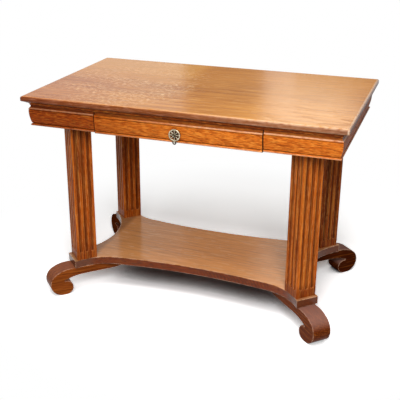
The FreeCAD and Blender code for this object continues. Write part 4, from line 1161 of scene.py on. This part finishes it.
@dataclass
class Rosette:
    """The pull's pierced plate, between two corners of its box: beaded rim, spokes, hub and lug."""

    low: Vector
    high: Vector
    spokes: int = 8
    beads: int = 20
    rim_tube: float = 2.2 * MM
    rim_flat: float = 0.78
    bead_radius: float = 1.9 * MM
    bead_flat: float = 0.62
    bead_out: float = 0.9
    spoke_width: float = 1.9 * MM
    spoke_flare: float = 1.7
    spoke_thick: float = 2.6 * MM
    spoke_inset: float = 0.5 * MM
    spoke_root: float = 1.2 * MM
    spoke_round: float = 0.75 * MM
    hub_radius: float = 6.2 * MM
    hub_rims: tuple[Pair, ...] = ((0.8 * MM, -0.7 * MM), (0.5 * MM, 0.7 * MM))
    hub_round: float = 0.2 * MM
    lug_width: float = 5.0 * MM
    lug_thick: float = 3.6 * MM
    lug_height: float = 7.2 * MM
    lug_round: float = 0.7 * MM
    pin_bore: float = 1.25 * MM
    rim_facets: tuple[int, int] = (112, 14)
    bead_facets: tuple[int, int] = (14, 9)
    hub_facets: int = 56
    bore_facets: int = 32
    round_facets: int = 4
    hub_round_facets: int = 2
    soft_edge: float = 40.0

    def __post_init__(self) -> None:
        """Work out the rim's middle line and the rosette's centre from its box."""
        radius = (self.high.x - self.low.x) / 2
        self.rim_radius = radius - self.rim_tube
        self.rim_depth = self.rim_tube * self.rim_flat
        middle_x = (self.low.x + self.high.x) / 2
        self.centre = Vector((middle_x, self.high.y - self.rim_depth, self.high.z - radius))

    def build(self) -> Piece:
        """Model the rosette in one piece, with the pin's bore through its lug.

        Returns:
            The rosette.
        """
        round_rim, round_tube = self.rim_facets
        rosette = model("rosette", bpy.ops.mesh.primitive_torus_add, location=self.centre,
                        rotation=FACING_FRONT, major_radius=self.rim_radius, minor_radius=self.rim_tube,
                        major_segments=round_rim, minor_segments=round_tube)
        pick(rosette, lambda spot: True)
        bpy.ops.transform.resize(value=(1.0, self.rim_flat, 1.0), center_override=self.centre)
        bpy.ops.object.mode_set(mode="OBJECT")
        for part in (self._bead_ring(), self._spoke_ring(), self._hub(), self._lug()):
            combine(rosette, part, Fusing.JOINED)
        pin_low, pin_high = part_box("pull_pin")
        bore = model("bore", bpy.ops.mesh.primitive_cylinder_add, vertices=self.bore_facets,
                     radius=self.pin_bore, depth=4 * self.lug_width, location=(pin_low + pin_high) / 2,
                     rotation=(0.0, QUARTER_TURN, 0.0))
        combine(rosette, bore, Fusing.CUT_OUT)
        smooth(rosette, self.soft_edge)
        return rosette

    def _bead_ring(self) -> Piece:
        """Model one bead and repeat it round the face of the rim.

        Returns:
            The ring of beads.
        """
        spot = self.centre + Vector((0.0, -self.rim_depth * self.bead_out, self.rim_radius))
        around, rings = self.bead_facets
        bead = model("bead", bpy.ops.mesh.primitive_uv_sphere_add, segments=around, ring_count=rings,
                     radius=self.bead_radius, location=spot)
        pick(bead, lambda place: True)
        bpy.ops.transform.resize(value=(1.0, self.bead_flat, 1.0), center_override=spot)
        self._repeat(self.beads)
        return bead

    def _spoke_ring(self) -> Piece:
        """Model one flared spoke and repeat it round the hub.

        Returns:
            The ring of spokes.
        """
        inner = self.hub_radius - self.spoke_root
        middle = Vector((self.centre.x, self.high.y - self.spoke_inset - self.spoke_thick / 2,
                         self.centre.z + (inner + self.rim_radius) / 2))
        spoke = model("spoke", bpy.ops.mesh.primitive_cube_add, size=1.0, location=middle,
                      stretch=(self.spoke_width, self.spoke_thick, self.rim_radius - inner))
        pick(spoke, lambda spot: spot.z > middle.z)
        bpy.ops.transform.resize(value=(self.spoke_flare, 1.0, 1.0), center_override=middle)
        bpy.ops.mesh.select_all(action="SELECT")
        bpy.ops.mesh.bevel(offset=self.spoke_round, segments=self.round_facets, affect="EDGES")
        self._repeat(self.spokes)
        return spoke

    def _repeat(self, count: int) -> None:
        """Copy the open piece round the rosette's axis and close it.

        Args:
            count: How many there are in all.
        """
        bpy.ops.mesh.select_all(action="SELECT")
        bpy.ops.mesh.spin(steps=count - 1, dupli=True, angle=2 * math.pi * (count - 1) / count,
                          center=self.centre, axis=(0.0, 1.0, 0.0))
        bpy.ops.object.mode_set(mode="OBJECT")

    def _hub(self) -> Piece:
        """Model the hub as a stepped boss under the post's head.

        Returns:
            The hub.
        """
        front, back = self.low.y, self.high.y
        spot = (self.centre.x, (front + back) / 2, self.centre.z)
        hub = model("hub", bpy.ops.mesh.primitive_cylinder_add, vertices=self.hub_facets,
                    radius=self.hub_radius, depth=back - front, location=spot, rotation=FACING_FRONT)
        pick(hub, lambda place: place.y < spot[1])
        for width, depth in self.hub_rims:
            bpy.ops.mesh.inset(thickness=width, depth=depth)
        bpy.ops.mesh.select_all(action="SELECT")
        bpy.ops.mesh.bevel(offset=self.hub_round, segments=self.hub_round_facets, affect="EDGES")
        bpy.ops.object.mode_set(mode="OBJECT")
        return hub

    def _lug(self) -> Piece:
        """Model the lug under the rim.

        Returns:
            The lug.
        """
        front = self.high.y - self.lug_thick
        top = self.low.z + self.lug_height
        middle = (self.centre.x, front + self.lug_thick / 2, (self.low.z + top) / 2)
        lug = model("lug", bpy.ops.mesh.primitive_cube_add, size=1.0, location=middle,
                    stretch=(self.lug_width, self.lug_thick, top - self.low.z))
        pick(lug, lambda spot: True)
        bpy.ops.mesh.bevel(offset=self.lug_round, segments=self.round_facets, affect="EDGES")
        bpy.ops.object.mode_set(mode="OBJECT")
        return lug


@dataclass
class Drop:
    """The pull's drop, between two corners of its box: half a ring below and two legs up to the pin."""

    low: Vector
    high: Vector
    leg_width: float = 4.1 * MM
    leg_top: float = 0.7
    leg_straight: float = 0.5
    leg_rounds: Pair = (0.3, 0.2)
    near: float = 0.01 * MM
    facets: tuple[int, int] = (48, 20)
    soft_edge: float = 50.0

    def build(self) -> Piece:
        """Model the drop as a rounded bail.

        Returns:
            The drop.
        """
        low, high = self.low, self.high
        half_leg = self.leg_width / 2
        outer = (high.x - low.x) / 2
        thick = high.y - low.y
        centre = Vector(((low.x + high.x) / 2, (low.y + high.y) / 2, low.z + outer))
        round_ring, round_leg = self.facets
        drop = model("drop", bpy.ops.mesh.primitive_torus_add, location=centre, rotation=FACING_FRONT,
                     major_radius=outer - half_leg, minor_radius=half_leg, major_segments=round_ring,
                     minor_segments=round_leg)
        pick(drop, lambda spot: spot.z > centre.z + self.near)
        bpy.ops.mesh.delete(type="VERT")
        pick(drop, lambda spot: True)
        bpy.ops.transform.resize(value=(1.0, thick / self.leg_width, 1.0), center_override=centre)
        straight = high.z - centre.z - half_leg * self.leg_straight
        for side in (-1, 1):
            leg = centre + Vector((side * (outer - half_leg), 0.0, 0.0))
            pick(drop, lambda spot: abs(spot.z - centre.z) < self.near and (spot - centre).x * side > 0)
            self._lengthen(straight)
            for share in self.leg_rounds:
                self._lengthen(half_leg * share)
                bpy.ops.transform.resize(value=(self.leg_top, self.leg_top, 1.0), center_override=leg)
            bpy.ops.mesh.edge_face_add()
        bpy.ops.object.mode_set(mode="OBJECT")
        smooth(drop, self.soft_edge)
        return drop

    def _lengthen(self, rise: float) -> None:
        """Draw the open end of a leg upwards."""
        bpy.ops.mesh.extrude_region_move(TRANSFORM_OT_translate={"value": (0.0, 0.0, rise)})


@dataclass
class Pull:
    """The cast pull on the drawer: the rosette, the drop that hangs from it and the turned pieces."""

    clean_relief: float = 0.8 * MM
    turned: tuple[str, ...] = ("pull_post", "pull_pin")

    def build(self) -> None:
        """Model the rosette and the drop in place of the plain ones, and finish the turned pieces."""
        low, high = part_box("pull_rosette")
        rosette = Rosette(low, high).build()
        brass = AGED_BRASS.material(rosette.name, (low.y + self.clean_relief, high.y))
        rosette.data.materials.append(brass)
        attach(rosette, "drawer")
        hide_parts("pull_rosette")
        drop = Drop(*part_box("pull_drop")).build()
        drop.data.materials.append(DARK_BRASS.material(drop.name))
        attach(drop, "pull_drop")
        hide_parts("pull_drop")
        for piece in (rosette, drop):
            LOG.info("modelled %s", piece.name)
        for node in self.turned:
            dress(node, DARK_BRASS)


@dataclass(frozen=True)
class Softbox:
    """One soft studio lamp."""

    name: str
    place: Triple
    aim: Triple
    width: float
    height: float
    power: float
    colour: Colour = WHITE
    outline: Outline = Outline.SQUARE

    def build(self) -> None:
        """Hang the lamp and turn it to its aim."""
        data = bpy.data.lights.new(self.name, "AREA")
        data.shape = self.outline.value
        data.size = self.width
        data.size_y = self.height
        data.energy = self.power
        data.color = self.colour
        lamp = bpy.data.objects.new(self.name, data)
        lamp.location = self.place
        towards = Vector(self.aim) - Vector(self.place)
        lamp.rotation_euler = towards.to_track_quat("-Z", "Y").to_euler()
        bpy.context.scene.collection.objects.link(lamp)
        LOG.info("hung %s", self.name)


@dataclass(frozen=True)
class Card:
    """A grey studio card that only the polish reflects."""

    name: str
    place: Triple
    tilt: float
    width: float
    height: float
    grey: float

    def build(self) -> None:
        """Stand or lay the card in its place."""
        card = model(self.name, bpy.ops.mesh.primitive_plane_add, size=1.0, location=self.place,
                     rotation=(self.tilt, 0.0, 0.0), stretch=(self.width, self.height, 1.0))
        graph = ShaderGraph(self.name)
        graph.end_in(graph.add("Emission", {"Color": (self.grey,) * 3}).outputs["Emission"])
        card.data.materials.append(graph.material)
        for way in ("camera", "diffuse", "transmission", "shadow", "volume_scatter"):
            setattr(card, f"visible_{way}", False)
        LOG.info("set up %s", self.name)


@dataclass
class Studio:
    """Floor, light and camera."""

    floor_half: float = 9.0
    floor_shown: float = 2.0
    floor_bounce: float = 0.5
    shade_reach: float = 0.25
    shade_range: Pair = (0.05, 0.58)
    shade_middle: float = 0.3
    open_floor: Pair = (0.42, 1.1)
    sky_light: float = 0.22
    sky_shown: float = 1.0
    camera_place: Triple = (0.8366, -2.4782, 1.4176)
    camera_pitch: float = 21.53
    camera_turn: float = 20.27
    lens: float = 68.44
    shift: Pair = (0.0346, -0.0335)
    cards: tuple[Card, ...] = (
        Card("back_card", (-1.065, 3.6, 2.2), QUARTER_TURN, 0.71, 2.8, 0.28),
        Card("side_card", (0.35, 3.6, 1.28), QUARTER_TURN, 1.6, 0.86, 0.22),
        Card("floor_card", (1.2, 2.3, 0.02), 0.0, 2.0, 2.2, 0.3),
    )
    lamps: tuple[Softbox, ...] = (
        Softbox("key_softbox", (0.8, -2.2, 2.1), (0.05, -0.1, 0.5), 1.1, 1.1, 62.0),
        Softbox("overhead_softbox", (0.0, -0.9, 3.0), (0.0, -0.1, 0.7), 2.2, 1.2, 31.0),
        Softbox("band_softbox", (-0.22, 3.2, 2.12), (0.35, -0.2, 0.76), 0.9, 1.1, 3.7,
                (1.0, 0.95, 0.78), Outline.ROUND),
    )

    def build(self) -> None:
        """Lay the floor, set the light and place the camera."""
        self._floor()
        self._sky()
        for piece in (*self.cards, *self.lamps):
            piece.build()
        self._camera()
        bpy.context.scene.view_settings.view_transform = "Standard"

    def _floor(self) -> None:
        """Lay a pale floor that keeps the real shadow near the table, deepened by a painted contact
        shade, and is white further off.
        """
        floor = model("studio_floor", bpy.ops.mesh.primitive_plane_add, size=2 * self.floor_half)
        graph = ShaderGraph("studio_floor")
        own = graph.place(shift=(0.0, -self.shade_middle, 0.0))
        far = graph.step(graph.vector("LENGTH", own), *self.open_floor)
        seen = graph.seen()
        # Painted contact shade: ambient occlusion darkens the floor's seen colour.
        shade = graph.add("AmbientOcclusion", {"Distance": self.shade_reach}).outputs["AO"]
        level = graph.times(graph.step(shade, *self.shade_range), self.floor_shown)
        colour = graph.blend(seen, (self.floor_bounce,) * 3, level)
        matt = graph.add("BsdfDiffuse", {"Color": colour}).outputs["BSDF"]
        white = graph.add("Emission").outputs["Emission"]
        graph.end_in(graph.mix(graph.times(far, seen), matt, white))
        floor.data.materials.append(graph.material)

    def _sky(self) -> None:
        """Set a white surround whose light on the object is softer than its looks."""
        world = bpy.data.worlds.new("studio_sky")
        bpy.context.scene.world = world
        world.use_nodes = True
        graph = NodeGraph(world.node_tree)
        lit, shown = (graph.add("Background", {"Color": WHITE, "Strength": strength}).outputs[0]
                      for strength in (self.sky_light, self.sky_shown))
        graph.add("OutputWorld", {"Surface": graph.mix(graph.seen(), lit, shown)})

    def _camera(self) -> None:
        """Place the camera where the photograph was taken."""
        data = bpy.data.cameras.new("photo_camera")
        data.sensor_fit = "HORIZONTAL"
        data.lens = self.lens
        data.shift_x, data.shift_y = self.shift
        camera = bpy.data.objects.new("photo_camera", data)
        camera.location = self.camera_place
        pitch, turn = math.radians(90.0 - self.camera_pitch), math.radians(self.camera_turn)
        camera.rotation_euler = (pitch, 0.0, turn)
        bpy.context.scene.collection.objects.link(camera)
        bpy.context.scene.camera = camera


def main() -> None:
    """Build and dress the table, then the studio round it."""
    logging.basicConfig(level=logging.INFO, format="%(name)s: %(message)s")
    for part in (TableTop(), Frieze(), BedMould(), Columns(), Shelf(), ScrollFeet(), HiddenFrame(),
                 DrawerBox(), Fasteners()):
        part.dress()
    Pull().build()
    Studio().build()


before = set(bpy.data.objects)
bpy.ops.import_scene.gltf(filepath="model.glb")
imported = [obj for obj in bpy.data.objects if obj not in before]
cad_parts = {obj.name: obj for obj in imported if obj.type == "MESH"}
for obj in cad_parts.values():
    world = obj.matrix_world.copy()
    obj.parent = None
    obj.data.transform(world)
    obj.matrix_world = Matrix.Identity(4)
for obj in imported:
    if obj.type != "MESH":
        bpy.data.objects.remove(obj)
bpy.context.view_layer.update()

if __name__ == "__main__":
    main()
